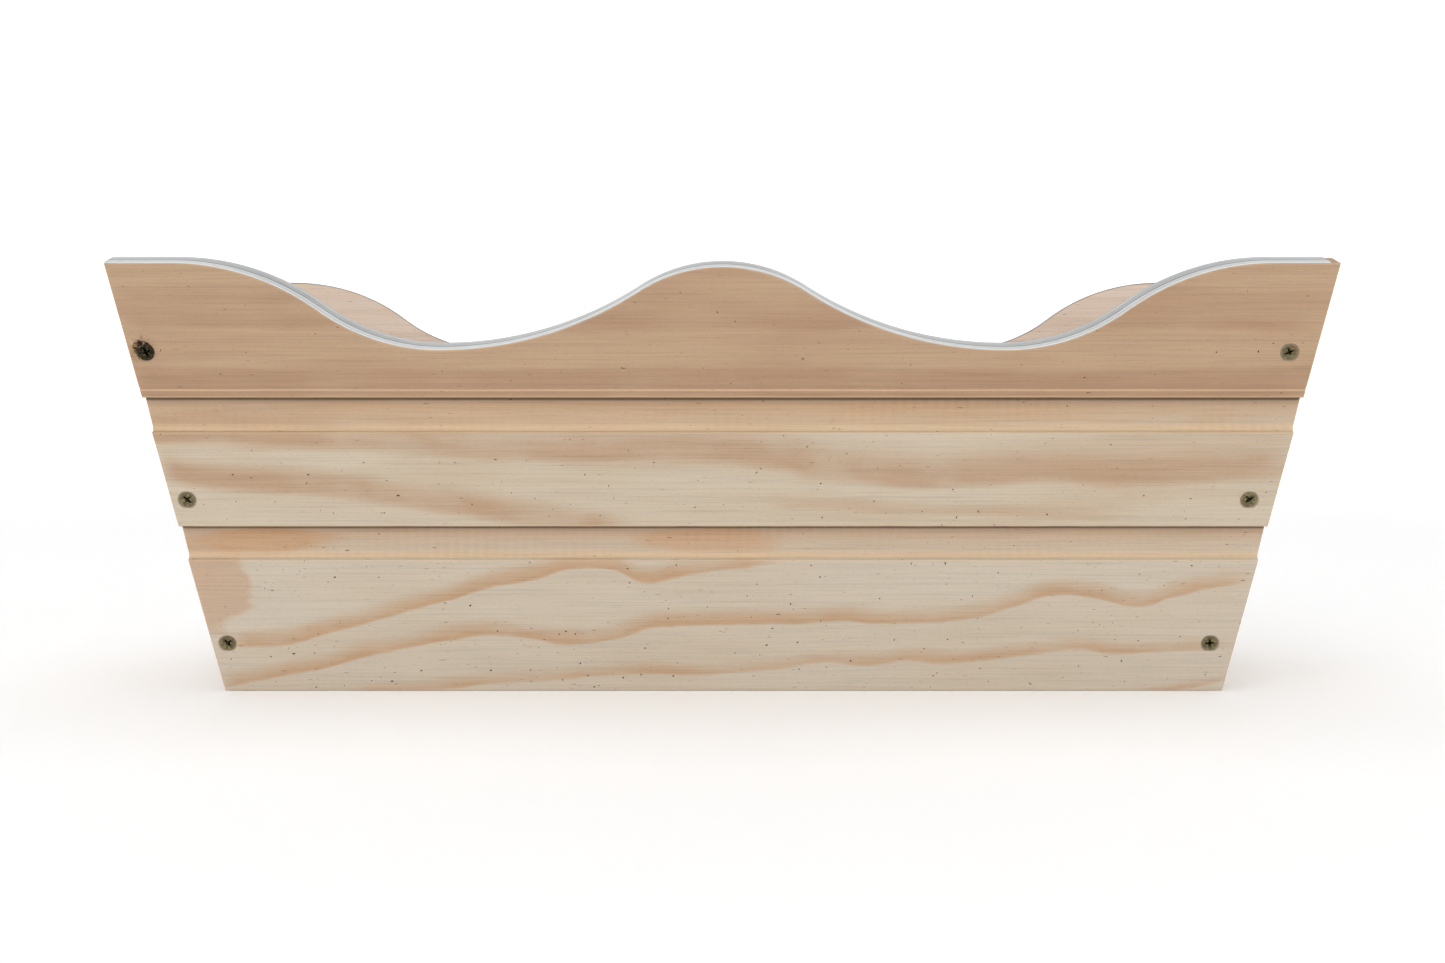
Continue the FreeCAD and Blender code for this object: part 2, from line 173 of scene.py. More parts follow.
def rounded(corners):
    """Points (depth, up) round a closed outline with its corners rounded."""
    points = []
    for index, (depth, up, radius) in enumerate(corners):
        here = Vector((depth, up))
        before = Vector(corners[index - 1][:2]) - here
        after = Vector(corners[(index + 1) % len(corners)][:2]) - here
        to_before, to_after = before.normalized(), after.normalized()
        half = to_before.angle(to_after) / 2
        reach = min(radius / tan(half), before.length * 0.95, after.length * 0.95)
        true_radius = reach * tan(half)
        centre = here + (to_before + to_after).normalized() * (true_radius / sin(half))
        first = (here + to_before * reach - centre).normalized()
        last = (here + to_after * reach - centre).normalized()
        steps = ARRIS_STEPS if true_radius < 2 * MM else 4 * ARRIS_STEPS
        points += [centre + first.slerp(last, step / steps) * true_radius
                   for step in range(steps + 1)]
    return points


def spread(points):
    """Add points along the straight runs."""
    full = []
    for index, start in enumerate(points):
        full.append(start)
        end = points[(index + 1) % len(points)]
        run = (end - start).length
        if run < 2.5 * NEAR_ARRIS:
            continue
        inner = run - 2 * NEAR_ARRIS
        pieces = max(1, round(inner / RUN_STEP))
        full += [start.lerp(end, (NEAR_ARRIS + inner * step / pieces) / run)
                 for step in range(pieces + 1)]
    return full


# %% [markdown]
# The three courses share one family of sections. A lip hangs in front of the board below, a
# tongue stands up behind the lip above, and the cove in front of the tongue throws the shadow
# line that makes shiplap look like shiplap. The upper board has no tongue, and has a shallow
# scratched groove above its lip instead. Drawing the corners as a list keeps every size in view.

# %% Sections of the three courses
LIP_THICK = 4.4 * MM
TONGUE_FACE = LIP_THICK + 0.2 * MM
LAP = 8 * MM
LAP_GAP = 0.2 * MM
COVE = 18 * MM
COVE_RADIUS = 3.4 * MM
GROOVE_RISE = 3.7 * MM
GROOVE_WIDTH = 2.8 * MM
GROOVE_DEEP = 0.5 * MM
GROOVE_EDGE = 0.3 * MM
SOFT = 0.8 * MM
SHARP = 0.3 * MM


def board_corners(course, top):
    """Corners (depth, up, radius) of a board's section."""
    lip = LIPS[course]
    if course == "lower":
        corners = [(0, 0, 1.2 * MM), (BOARD, 0, SHARP)]
    else:
        ceiling = lip + LAP + LAP_GAP
        corners = [(0, lip, SOFT), (LIP_THICK, lip, SHARP), (LIP_THICK, ceiling, SHARP),
                   (BOARD, ceiling, SHARP)]
    if course == "upper":
        groove = lip + GROOVE_RISE
        return corners + [(BOARD, top, SHARP), (0, top, SHARP),
                          (0, groove + GROOVE_WIDTH, GROOVE_EDGE),
                          (GROOVE_DEEP, groove + GROOVE_WIDTH * 0.5, 1.2 * MM),
                          (0, groove, GROOVE_EDGE)]
    tongue = NEXT_LIP[course] + LAP
    foot = NEXT_LIP[course] - COVE
    taper = (TONGUE_FACE - COVE_RADIUS) / (COVE - COVE_RADIUS)
    hollow = COVE_RADIUS * (1 - taper)
    return corners + [(BOARD, tongue, SHARP), (TONGUE_FACE, tongue, SHARP),
                      (TONGUE_FACE, NEXT_LIP[course], 0.5 * MM),
                      (hollow, foot, hollow * 0.92), (0, foot, 0.2 * MM)]


for course in COURSES:
    print(course, len(spread(rounded(board_corners(course, SLANT)))), "points in a section")


# %% [markdown]
# ## Sweeping a section into a board
# A planed board is its section drawn out to a length, so the mesh is made the same way: the
# section is repeated at stations a few millimetres apart and neighbouring stations are joined
# by faces. The first and last stations are drawn in a little, which rounds the sawn ends. The
# arrises are then nibbled by a small fixed noise, always inwards, because no real arris is
# perfect and a clean line is what makes a rendered board look artificial.

# %% Outward normals and small wear
STATION_STEP = 4 * MM
END_ROUND = 0.08 * MM
WEAR = 0.16 * MM


def outline_normals(points):
    """Outward normals of a closed outline that runs anticlockwise seen from -along."""
    normals = []
    for index in range(len(points)):
        run = (points[(index + 1) % len(points)] - points[index - 1]).normalized()
        normals.append(Vector((run.y, -run.x)))
    area = sum(a.x * b.y - b.x * a.y for a, b in zip(points, points[1:] + points[:1]))
    return normals if area > 0 else [-normal for normal in normals]


def corner_weights(points):
    """1 where the outline turns quickly (an arris) and 0 along its straight runs."""
    weights = []
    for index, point in enumerate(points):
        before = point - points[index - 1]
        after = points[(index + 1) % len(points)] - point
        weights.append(min(1.0, max(0.0, before.angle(after) - radians(10)) / radians(12)))
    return weights


section = spread(rounded(board_corners("middle", SLANT)))
print("arris points in a middle board:", sum(weight > 0.5 for weight in corner_weights(section)))


# %% [markdown]
# The stations carry three numbers each: the share of the half length, how far the ring is drawn
# back from the end, and how far it is drawn in. The draw-in has to stay smaller than every
# rounded edge of the section. A larger one folds the skin through itself, and a folded skin
# tears when a hole is cut in it.

# %% Stations and skins
def stations(half):
    """Share of the half length, distance drawn back and inset, for each station."""
    count = round(2 * half / STATION_STEP)
    inner = [(2 * step / count - 1, 0.0, 0.0) for step in range(1, count)]
    start = [(-1.0, 0.0, END_ROUND), (-1.0, 0.3 * END_ROUND, 0.3 * END_ROUND),
             (-1.0, END_ROUND, 0.0), (-1.0, NEAR_ARRIS, 0.0)]
    return start + inner + [(1.0, back, inset) for _, back, inset in reversed(start)]


def mesh_object(name, bm):
    """Finish a mesh with outward faces and smooth shading up to 35 degrees."""
    bmesh.ops.recalc_face_normals(bm, faces=bm.faces)
    mesh = bpy.data.meshes.new(name)
    bm.to_mesh(mesh)
    bm.free()
    mesh.shade_smooth()
    mesh.set_sharp_from_angle(angle=radians(35))
    made = bpy.data.objects.new(name, mesh)
    bpy.context.scene.collection.objects.link(made)
    return made


def loft(rings):
    """Join rings of points into one closed skin, with a flat cap at each end."""
    bm = bmesh.new()
    rows = [[bm.verts.new(point) for point in ring] for ring in rings]
    for near, far in zip(rows, rows[1:]):
        for index in range(len(near)):
            after = (index + 1) % len(near)
            bm.faces.new((near[index], near[after], far[after], far[index]))
    bm.faces.new(rows[0])
    bm.faces.new(rows[-1])
    return bm


print("stations along the front:", len(stations(HALF_BASE_LENGTH)))


# %% [markdown]
# ## Boards that follow the rim
# The upper boards of the front and the back are planks like the others until someone cuts the
# scallops into them. Here the whole face above the groove is squeezed down to meet the rim, so
# the lines of the mesh flow along the curve instead of being chopped by it.

# %% One function makes every wall board
SQUEEZE_FROM = LIPS["upper"] + 9.5 * MM


def squeezed(up, along):
    """Height of a point once the scallops are cut."""
    weight = (up - SQUEEZE_FROM) / (SLANT - 1 * MM - SQUEEZE_FROM)
    return up + min(1.0, max(0.0, weight)) * (rim_up(along) - SLANT)


def wall_board(wall, course):
    """One board of one wall."""
    turn, out, lean = WALLS[wall]
    place = stand(turn, out, lean)
    long_wall = wall in ("front", "back")
    points = spread(rounded(board_corners(course, SLANT if long_wall else END_SLANT)))
    normals = outline_normals(points)
    worn = corner_weights(points)
    seed = Vector((7.3 * list(WALLS).index(wall), 3.1 * COURSES.index(course), 0))
    rings = []
    for share, back, inset in stations(HALF_BASE_LENGTH if long_wall else HALF_BASE_DEPTH):
        ring = []
        for point, normal, arris in zip(points, normals, worn):
            depth, up = point - normal * inset
            along = 0.0
            for _ in range(6 if long_wall and course == "upper" else 1):
                lifted = squeezed(up, along) if long_wall and course == "upper" else up
                height = lifted * cos(lean) + depth * sin(lean)
                along = share * (half_length(wall, height) - back)
            rough = noise.noise(Vector((along, depth, up)) * 90 + seed)
            rough += 0.6 * noise.noise(Vector((along, depth, up)) * 420 + seed)
            nibble = arris * WEAR * max(0.0, rough) if not back and not inset else 0.0
            ring.append(place @ Vector((along, depth - normal.x * nibble,
                                        lifted - normal.y * nibble)))
        rings.append(ring)
    return mesh_object(f"{wall}_{course}_wood", loft(rings))


boards = {(wall, course): wall_board(wall, course) for wall in WALLS for course in COURSES}
print(len(boards), "boards,", sum(len(board.data.vertices) for board in boards.values()), "points")


# %% [markdown]
# ## The floor board
# The floor fills the foot of the trough and keeps the four walls square. Its edges follow the
# lean of the walls, so that it drops in from above and jams.

# %% The floor board
SOFT_EDGE = 0.25 * MM
DECK_STEPS = 24


def floor_section(inset):
    """Points (across, height) round the floor board."""
    heights = [0.0, SOFT_EDGE, 1 * MM]
    heights += [FLOOR_THICK * step / 4 for step in range(1, 4)]
    heights += [FLOOR_THICK - 1 * MM, FLOOR_THICK - SOFT_EDGE, FLOOR_THICK]
    edge = []
    for height in heights:
        corner = SOFT_EDGE if height in (0.0, FLOOR_THICK) else 0.0
        across = half_length("left", height) - corner - inset
        edge.append((across, min(max(height, inset), FLOOR_THICK - inset)))
    (foot_across, foot), (head_across, head) = edge[0], edge[-1]
    shares = [2 * step / DECK_STEPS - 1 for step in range(1, DECK_STEPS)]
    deck = [(-head_across * share, head) for share in shares]
    far_edge = [(-across, height) for across, height in reversed(edge)]
    under = [(foot_across * share, foot) for share in shares]
    return edge + deck + far_edge + under


def floor_board():
    """The flat board between the walls."""
    rings = []
    for share, back, inset in stations(HALF_BASE_LENGTH):
        ring = []
        for across, height in floor_section(inset):
            reach = half_length("floor", height) - back
            along = share * reach - (share + 1) / 2 * END_SHIFT
            ring.append(Vector((along, across, height)))
        rings.append(ring)
    return mesh_object("floor_wood", loft(rings))


boards["floor", "board"] = floor_board()
print("floor", len(boards["floor", "board"].data.vertices), "points")


# %% [markdown]
# ## Where the screws go
# Each end of the front and of the back is held by three countersunk screws, driven square to
# the leaning face into the end boards. Two more screws pass through each lowest end board into
# the end grain of the floor. A place is a point on the face and the way out of the wood. The
# right end board stands a little further in, and its screws go with it.

# %% Screw places
HEAD_RADIUS = 4.35 * MM
SHANK_RADIUS = 2.0 * MM
SCREW_SINK = 0.5 * MM
SCREW_LENGTH = 40 * MM
FLOOR_SCREW_LENGTH = 30 * MM
FLOOR_SCREW_PLACE = 20 * MM


def corner_screws(wall, side, shift=0.0):
    """Places of the three screws at one end of the front or the back."""
    place = stand(*WALLS[wall])
    outwards = (place.to_3x3() @ Vector((0, -1, 0))).normalized()
    found = []
    for rise in SCREW_RISE.values():
        inset = (END_INSET + BOARD / 2) / cos(END_LEAN) + shift
        along = half_length(wall, rise * cos(SIDE_LEAN)) - inset
        found.append((place @ Vector((side * along, 0, rise)), outwards))
    return found


def floor_screws(side):
    """Places of the two screws that hold one end of the floor."""
    height = FLOOR_THICK / 2
    face = END_OUT + height * tan(END_LEAN) - HEAD_RADIUS * tan(END_LEAN)
    face -= END_SHIFT if side > 0 else 0.0
    return [(Vector((side * face, across, height)), Vector((side, 0, 0)))
            for across in (-FLOOR_SCREW_PLACE, FLOOR_SCREW_PLACE)]


screw_groups = {
    "front_left_screws": corner_screws("front", -1),
    "front_right_screws": corner_screws("front", 1, END_SHIFT),
    "back_left_screws": corner_screws("back", 1),
    "back_right_screws": corner_screws("back", -1, END_SHIFT),
    "left_floor_screws": floor_screws(-1),
    "right_floor_screws": floor_screws(1),
}
for node, places in screw_groups.items():
    print(node, [tuple(round(value / MM) for value in spot) for spot, _ in places])


# %% [markdown]
# ## Boring the holes
# A countersunk hole is a cone on top of a drilled shaft. The cutter is turned like a chess
# piece on a lathe: a profile of radius and depth, spun about the screw's axis. An exact Boolean
# then takes it out of every board that the screw passes through, and the cut is made final.
# A Boolean can go wrong without saying so, so each cut is checked: in a closed skin every edge
# joins two faces. All the holes of one board are cut at once, which is also kinder to its skin.

# %% A lathe and a drill
COUNTERSINK = HEAD_RADIUS + SCREW_SINK + 0.05 * MM
DRILL = SHANK_RADIUS + 0.05 * MM


def turned(profile, spot, axis, segments=48, swell=None, spin=0.0, beside=None):
    """Spin a profile of (radius, depth) about an axis. A swell may make it uneven."""
    bm = beside or bmesh.new()
    turn = axis.to_track_quat("Z", "Y").to_matrix()
    rows = []
    for radius, depth in profile:
        row = []
        for index in range(segments):
            angle = 2 * pi * (index + spin) / segments
            wide = radius * (swell(angle, depth) if swell else 1.0)
            offset = Vector((wide * cos(angle), wide * sin(angle), -depth))
            row.append(bm.verts.new(spot + turn @ offset))
        rows.append(row)
    for near, far in zip(rows, rows[1:]):
        for index in range(segments):
            after = (index + 1) % segments
            bm.faces.new((near[index], near[after], far[after], far[index]))
    bm.faces.new(rows[0])
    bm.faces.new(rows[-1])
    return bm


def settled(piece):
    """Make a piece's modifiers final."""
    graph = bpy.context.evaluated_depsgraph_get()
    mesh = bpy.data.meshes.new_from_object(piece.evaluated_get(graph))
    piece.modifiers.clear()
    piece.data = mesh
    return piece


def torn_edges(piece):
    """How many edges don't join exactly two faces. A closed skin has none."""
    bm = bmesh.new()
    bm.from_mesh(piece.data)
    count = sum(len(edge.link_faces) != 2 for edge in bm.edges)
    bm.free()
    return count


def cut_away(piece, make_cutter):
    """Take a cutter out of a piece, turning it a little and trying again if the skin tears."""
    whole = piece.data.copy()
    for attempt in range(8):
        cutter = make_cutter(attempt * 0.13)
        boolean = piece.modifiers.new("cut", "BOOLEAN")
        boolean.operation = "DIFFERENCE"
        boolean.solver = "EXACT"
        boolean.object = cutter
        settled(piece)
        bpy.data.objects.remove(cutter)
        if torn_edges(piece) == 0:
            piece.data.set_sharp_from_angle(angle=radians(35))
            return attempt
        piece.data = whole.copy()
    raise RuntimeError(f"{piece.name} won't take its hole")


def drills(places, spin):
    """One cutter for all the countersunk holes of a board: (spot, outwards, length) for each."""
    bm = bmesh.new()
    for spot, outwards, length in places:
        cone = COUNTERSINK - DRILL
        profile = [(COUNTERSINK, -2 * MM), (COUNTERSINK, 0.0), (DRILL, cone),
                   (DRILL, length - 4.5 * MM), (0.2 * MM, length + 0.6 * MM)]
        turned(profile, spot, outwards, spin=spin, beside=bm)
    return mesh_object("drills", bm)


def gouge(spot, outwards, aside, spin):
    """A ragged pit where a driver bit slipped, a little to one side of the screw."""
    def ragged(angle, depth):
        place = Vector((cos(angle) * 2.2, sin(angle) * 2.2, depth * 300))
        return 1 + 0.4 * noise.noise(place) + 0.22 * noise.noise(place * 3.1)

    profile = [(4.6 * MM, -2 * MM), (4.6 * MM, 0.0), (3.9 * MM, 1.4 * MM), (2.9 * MM, 2.8 * MM),
               (1.0 * MM, 3.8 * MM)]
    return mesh_object("gouge", turned(profile, spot + aside, outwards, 40, ragged, spin))


print(f"countersink {COUNTERSINK / MM:.2f} mm, drill {DRILL / MM:.2f} mm in radius")


# %% [markdown]
# Which boards does a screw pass through? One in the front or the back goes on into the end board
# of the same course, and a floor screw goes through the lowest end board into the floor. The
# holes are collected board by board first. The torn pit at one screw is cut last.

# %% Bore every hole
bores = {key: [] for key in boards}
for node, places in screw_groups.items():
    wall, side = node.split("_")[:2]
    for index, (spot, outwards) in enumerate(places):
        if wall in ("front", "back"):
            hole = (spot, outwards, SCREW_LENGTH)
            bores[wall, COURSES[index]].append(hole)
            bores[side, COURSES[index]].append(hole)
        else:
            hole = (spot, outwards, FLOOR_SCREW_LENGTH)
            bores[wall, "lower"].append(hole)
            bores["floor", "board"].append(hole)
for key, holes in bores.items():
    tries = cut_away(boards[key], lambda spin: drills(holes, spin))
    print(boards[key].name, len(holes), "holes,", tries, "more tries")
torn_spot, torn_out = screw_groups["front_left_screws"][2]
UP_SLANT = stand(*WALLS["front"]).to_3x3() @ Vector((0, 0, 1))
TORN_ASIDE = Vector((-1.7 * MM, 0, 0)) + UP_SLANT * 1.9 * MM
cut_away(boards["front", "upper"], lambda spin: gouge(torn_spot, torn_out, TORN_ASIDE, spin))
print("boards after boring:", sum(len(board.data.vertices) for board in boards.values()), "points")


# %% [markdown]
# ## What the wood needs to know about itself
# Two numbers are written on the finished mesh for the material to read. `arris` is high where
# the surface turns a corner outwards, where the finish paints a highlight. `end_grain` is high on
# the sawn ends, where the cut crosses the fibres and the wood looks darker; the finish darkens
# them further as painted shade.

# %% Mark arrises and end grain
def mark(piece, along):
    """Write the arris and end grain attributes of a board, leaving the holes unmarked."""
    holes = [spot for places in screw_groups.values() for spot, _ in places]
    mesh = piece.data
    bm = bmesh.new()
    bm.from_mesh(mesh)
    arris = []
    for vert in bm.verts:
        turns = [edge.calc_face_angle_signed(0.0) for edge in vert.link_edges]
        sharp = min(1.0, max(0.0, (max(turns, default=0.0) - radians(9)) / radians(11)))
        if sharp and any((vert.co - hole).length < 7 * MM for hole in holes):
            sharp = 0.0
        arris.append(sharp)
    ends = [abs(face.normal.dot(along)) for face in bm.faces]
    bm.free()
    layer = mesh.attributes.new("arris", "FLOAT", "POINT")
    layer.data.foreach_set("value", arris)
    layer = mesh.attributes.new("end_grain", "FLOAT", "FACE")
    layer.data.foreach_set("value", ends)


for (wall, course), board in boards.items():
    mark(board, Vector((0, 1, 0)) if wall in ("left", "right") else Vector((1, 0, 0)))
print("attributes:", [a.name for a in boards["front", "upper"].data.attributes])


# %% [markdown]
# ## A countersunk screw
# One screw is modelled well and used everywhere. Going down from the head: a flat top with a
# small chamfer, the 90 degree cone that draws into the countersink, the rolled thread, and the
# point. The thread is one skin: at every height the radius depends on how far round it is, so
# the ridge climbs one pitch for each turn.

# %% The turned body of a screw
PITCH = 1.8 * MM
CORE_RADIUS = 1.35 * MM
POINT = 5 * MM
ROUND_SEGMENTS = 32


def thread_radius(angle, depth, length):
    """Radius of the thread at an angle and a depth below the head."""
    climb = (depth / PITCH + angle / (2 * pi)) % 1.0
    ridge = max(0.0, 1 - abs(climb - 0.5) / 0.32)
    left = (length - depth) / POINT
    taper = min(1.0, max(0.05, left))
    return (CORE_RADIUS + (SHANK_RADIUS - CORE_RADIUS) * ridge) * taper


def screw_body(name, length):
    """A screw with its head's top at the origin and its shank along -Z."""
    rows = [(radius, depth, False) for radius, depth in
            ((3.3 * MM, 0), (4.05 * MM, 0), (4.24 * MM, 0.02 * MM), (4.33 * MM, 0.07 * MM),
             (4.28 * MM, 0.17 * MM), (4.1 * MM, 0.4 * MM), (3.1 * MM, 1.32 * MM),
             (2.1 * MM, 2.3 * MM), (1.75 * MM, 2.9 * MM), (1.6 * MM, 4 * MM))]
    depth = 4.6 * MM
    while depth < length - 0.05 * MM:
        rows.append((None, depth, True))
        depth += PITCH / 7
    bm = bmesh.new()
    rings = []
    for radius, depth, threaded in rows:
        ring = []
        for index in range(ROUND_SEGMENTS):
            angle = 2 * pi * index / ROUND_SEGMENTS
            wide = thread_radius(angle, depth, length) if threaded else radius
            ring.append(bm.verts.new((wide * cos(angle), wide * sin(angle), -depth)))
        rings.append(ring)
    for near, far in zip(rings, rings[1:]):
        for index in range(ROUND_SEGMENTS):
            after = (index + 1) % ROUND_SEGMENTS
            bm.faces.new((near[index], near[after], far[after], far[index]))
    bm.faces.new(rings[0])
    bm.faces.new(rings[-1])
    return mesh_object(name, bm)


# %% [markdown]
# The cross recess is a tapered plus sign: two blades that narrow as they go down, and a cone
# where they meet. Each is cut out of the head in turn, and a very small bevel afterwards lets
# the edges of the recess catch the light.

# %% The cross recess
RECESS_SPAN = 2.4 * MM
RECESS_HALF = 0.5 * MM
RECESS_DEEP = 1.6 * MM


def blade(turn):
    """One tapered bar of the cross."""
    bm = bmesh.new()
    rows = []
    for depth, span, half in ((-0.5 * MM, RECESS_SPAN * 1.2, RECESS_HALF * 1.08),
                              (RECESS_DEEP, RECESS_SPAN * 0.42, RECESS_HALF * 0.72)):
        corners = [(span, half), (-span, half), (-span, -half), (span, -half)]
        rows.append([bm.verts.new(Matrix.Rotation(turn, 3, "Z") @ Vector((x, y, -depth)))
                     for x, y in corners])
    for index in range(4):
        after = (index + 1) % 4
        bm.faces.new((rows[0][index], rows[0][after], rows[1][after], rows[1][index]))
    bm.faces.new(rows[0])
    bm.faces.new(rows[1])
    return mesh_object("blade", bm)


def screw(name, length):
    """A finished screw."""
    made = screw_body(name, length)
    cone = [(1.25 * MM, -0.5 * MM), (0.95 * MM, 0.9 * MM), (0.25 * MM, 1.9 * MM)]
    cut_away(made, lambda spin: blade(0.01 * spin))
    cut_away(made, lambda spin: blade(pi / 2 + 0.01 * spin))
    cut_away(made, lambda spin: mesh_object(
        "recess centre", turned(cone, Vector(), Vector((0, 0, 1)), 24, spin=spin)))
    bevel = made.modifiers.new("soft edges", "BEVEL")
    bevel.width = 0.05 * MM
    bevel.segments = 2
    bevel.limit_method = "ANGLE"
    bevel.angle_limit = radians(50)
    settled(made)
    made.data.set_sharp_from_angle(angle=radians(40))
    rim = made.data.attributes.new("rim", "FLOAT", "POINT")
    for vert, value in zip(made.data.vertices, rim.data):
        value.value = 1.0 if vert.co.xy.length > 3.6 * MM and vert.co.z > -0.3 * MM else 0.0
    # pocket marks the cross recess, which the zinc finish darkens as painted shade.
    pocket = made.data.attributes.new("pocket", "FLOAT", "POINT")
    for vert, value in zip(made.data.vertices, pocket.data):
        value.value = 1.0 if vert.co.xy.length < 2.7 * MM and vert.co.z < -0.2 * MM else 0.0
    return made


# Two lengths are enough for every joint in the trough.
long_screw = screw("long screw", SCREW_LENGTH)
short_screw = screw("short screw", FLOOR_SCREW_LENGTH)
print("one screw:", len(long_screw.data.polygons), "faces")


# %% [markdown]
# ## Writing node trees as sums
# Both the node tree that places the screws and the materials further down are written with one
# small helper. A `Net` adds a node by its type, its settings and its inputs. A `Wire` is one
# output, and it can be added, multiplied or subtracted like a number.

# %% Wires and nets
class Wire:
    """One output of a node, usable in plain sums."""

    def __init__(self, net, socket):
        self.net = net
        self.socket = socket

    def maths(self, operation, *others, clamp=False):
        """A Math node that starts with this wire."""
        values = dict(enumerate((self, *others)))
        made = self.net.node("ShaderNodeMath", {"operation": operation, "use_clamp": clamp}, values)
        return made["Value"]

    def flipped(self, operation, other):
        """A Math node that ends with this wire."""
        return self.net.node("ShaderNodeMath", {"operation": operation}, {0: other, 1: self})["Value"]

    def __add__(self, other):
        return self.maths("ADD", other)

    def __sub__(self, other):
        return self.maths("SUBTRACT", other)

    def __mul__(self, other):
        return self.maths("MULTIPLY", other)

    def __truediv__(self, other):
        return self.maths("DIVIDE", other)

    def __rsub__(self, other):
        return self.flipped("SUBTRACT", other)

    def __rtruediv__(self, other):
        return self.flipped("DIVIDE", other)

    __radd__ = __add__
    __rmul__ = __mul__

    def smooth(self, low, high):
        """0 below low, 1 above high and an easy curve between."""
        inputs = {"Value": self, "From Min": low, "From Max": high}
        made = self.net.node("ShaderNodeMapRange", {"interpolation_type": "SMOOTHSTEP"}, inputs)
        return made["Result"]


class Made:
    """A node that has been added; its outputs are found by name."""

    def __init__(self, net, node):
        self.net = net
        self.node = node

    def __getitem__(self, name):
        found = [s for s in self.node.outputs if s.enabled and s.name == name]
        return Wire(self.net, found[0])


class Net:
    """A node tree that nodes can be added to."""

    def __init__(self, tree):
        self.tree = tree
        tree.nodes.clear()

    def node(self, kind, settings=None, inputs=None):
        """Add a node: its type, its settings, then its inputs by name or number."""
        node = self.tree.nodes.new(kind)
        for name, value in (settings or {}).items():
            setattr(node, name, value)
        for name, value in (inputs or {}).items():
            if isinstance(name, int):
                socket = node.inputs[name]
            else:
                socket = [s for s in node.inputs if s.enabled and s.name == name][0]
            if isinstance(value, Wire):
                self.tree.links.new(value.socket, socket)
            else:
                socket.default_value = value
        return Made(self, node)


# %% [markdown]
# ## Driving the screws with Geometry Nodes
# Each group of screws starts as nothing but points, one per hole, and every point carries the
# direction that its screw faces. The tree turns a screw to that direction, gives it a different
# twist, because nobody stops every cross at the same angle, and makes the copies real.

# %% The tree that drives screws
def screw_tree():
    """Instances of a screw on points, turned to their facing."""
    tree = bpy.data.node_groups.new("Drive screws", "GeometryNodeTree")
    face = tree.interface
    face.new_socket("Geometry", in_out="INPUT", socket_type="NodeSocketGeometry")
    face.new_socket("Screw", in_out="INPUT", socket_type="NodeSocketObject")
    face.new_socket("Twist seed", in_out="INPUT", socket_type="NodeSocketInt")
    face.new_socket("Finish", in_out="INPUT", socket_type="NodeSocketMaterial")
    face.new_socket("Geometry", in_out="OUTPUT", socket_type="NodeSocketGeometry")
    net = Net(tree)
    given = net.node("NodeGroupInput")
    facing = net.node("GeometryNodeInputNamedAttribute", {"data_type": "FLOAT_VECTOR"},
                      {"Name": "facing"})["Attribute"]
    turned_out = net.node("FunctionNodeAlignRotationToVector", {"axis": "Z"},
                          {"Vector": facing})["Rotation"]
    angle = net.node("FunctionNodeRandomValue", {"data_type": "FLOAT"},
                     {"Min": 0.0, "Max": 2 * pi, "Seed": given["Twist seed"]})["Value"]
    twist = net.node("FunctionNodeAxisAngleToRotation", {},
                     {"Axis": (0, 0, 1), "Angle": angle})["Rotation"]
    rotation = net.node("FunctionNodeRotateRotation", {"rotation_space": "LOCAL"},
                        {"Rotation": turned_out, "Rotate By": twist})["Rotation"]
    shape = net.node("GeometryNodeObjectInfo", {}, {"Object": given["Screw"]})["Geometry"]
    copies = net.node("GeometryNodeInstanceOnPoints", {},
                      {"Points": given["Geometry"], "Instance": shape,
                       "Rotation": rotation})["Instances"]
    real = net.node("GeometryNodeRealizeInstances", {}, {"Geometry": copies})["Geometry"]
    painted = net.node("GeometryNodeSetMaterial", {},
                       {"Geometry": real, "Material": given["Finish"]})["Geometry"]
    net.node("NodeGroupOutput", {}, {"Geometry": painted})
    return tree


def grown(name, spots, attributes, tree, inputs):
    """Points with attributes, run through a node tree and made final."""
    mesh = bpy.data.meshes.new(name)
    mesh.from_pydata(spots, [], [])
    for label, values in attributes.items():
        layer = mesh.attributes.new(label, "FLOAT_VECTOR", "POINT")
        layer.data.foreach_set("vector", [part for value in values for part in value])
    carrier = bpy.data.objects.new(name, mesh)
    bpy.context.scene.collection.objects.link(carrier)
    modifier = carrier.modifiers.new("grow", "NODES")
    modifier.node_group = tree
    for item in tree.interface.items_tree:
        if item.item_type == "SOCKET" and item.in_out == "INPUT" and item.name in inputs:
            modifier[item.identifier] = inputs[item.name]
    return settled(carrier)


tree = screw_tree()
print("screw tree:", len(tree.nodes), "nodes")


# %% [markdown]
# Every group is grown on its own, so that it becomes one plain mesh with the name of its place.
# The finish is an empty material for now. It is filled in with the other metals further down.

# %% Drive every screw
zinc = bpy.data.materials.new("zinc")
screws = {}
for seed, (node, places) in enumerate(screw_groups.items()):
    shape = short_screw if "floor" in node else long_screw
    heads = [spot - outwards * SCREW_SINK for spot, outwards in places]
    facings = [outwards for _, outwards in places]
    made = grown(f"{node}_turned", heads, {"facing": facings}, tree,
                 {"Screw": shape, "Twist seed": 11 + seed, "Finish": zinc})
    made.data.set_sharp_from_angle(angle=radians(40))
    screws[node] = made
    print(node, len(made.data.polygons), "faces")
for shape in (long_screw, short_screw):
    bpy.data.objects.remove(shape)
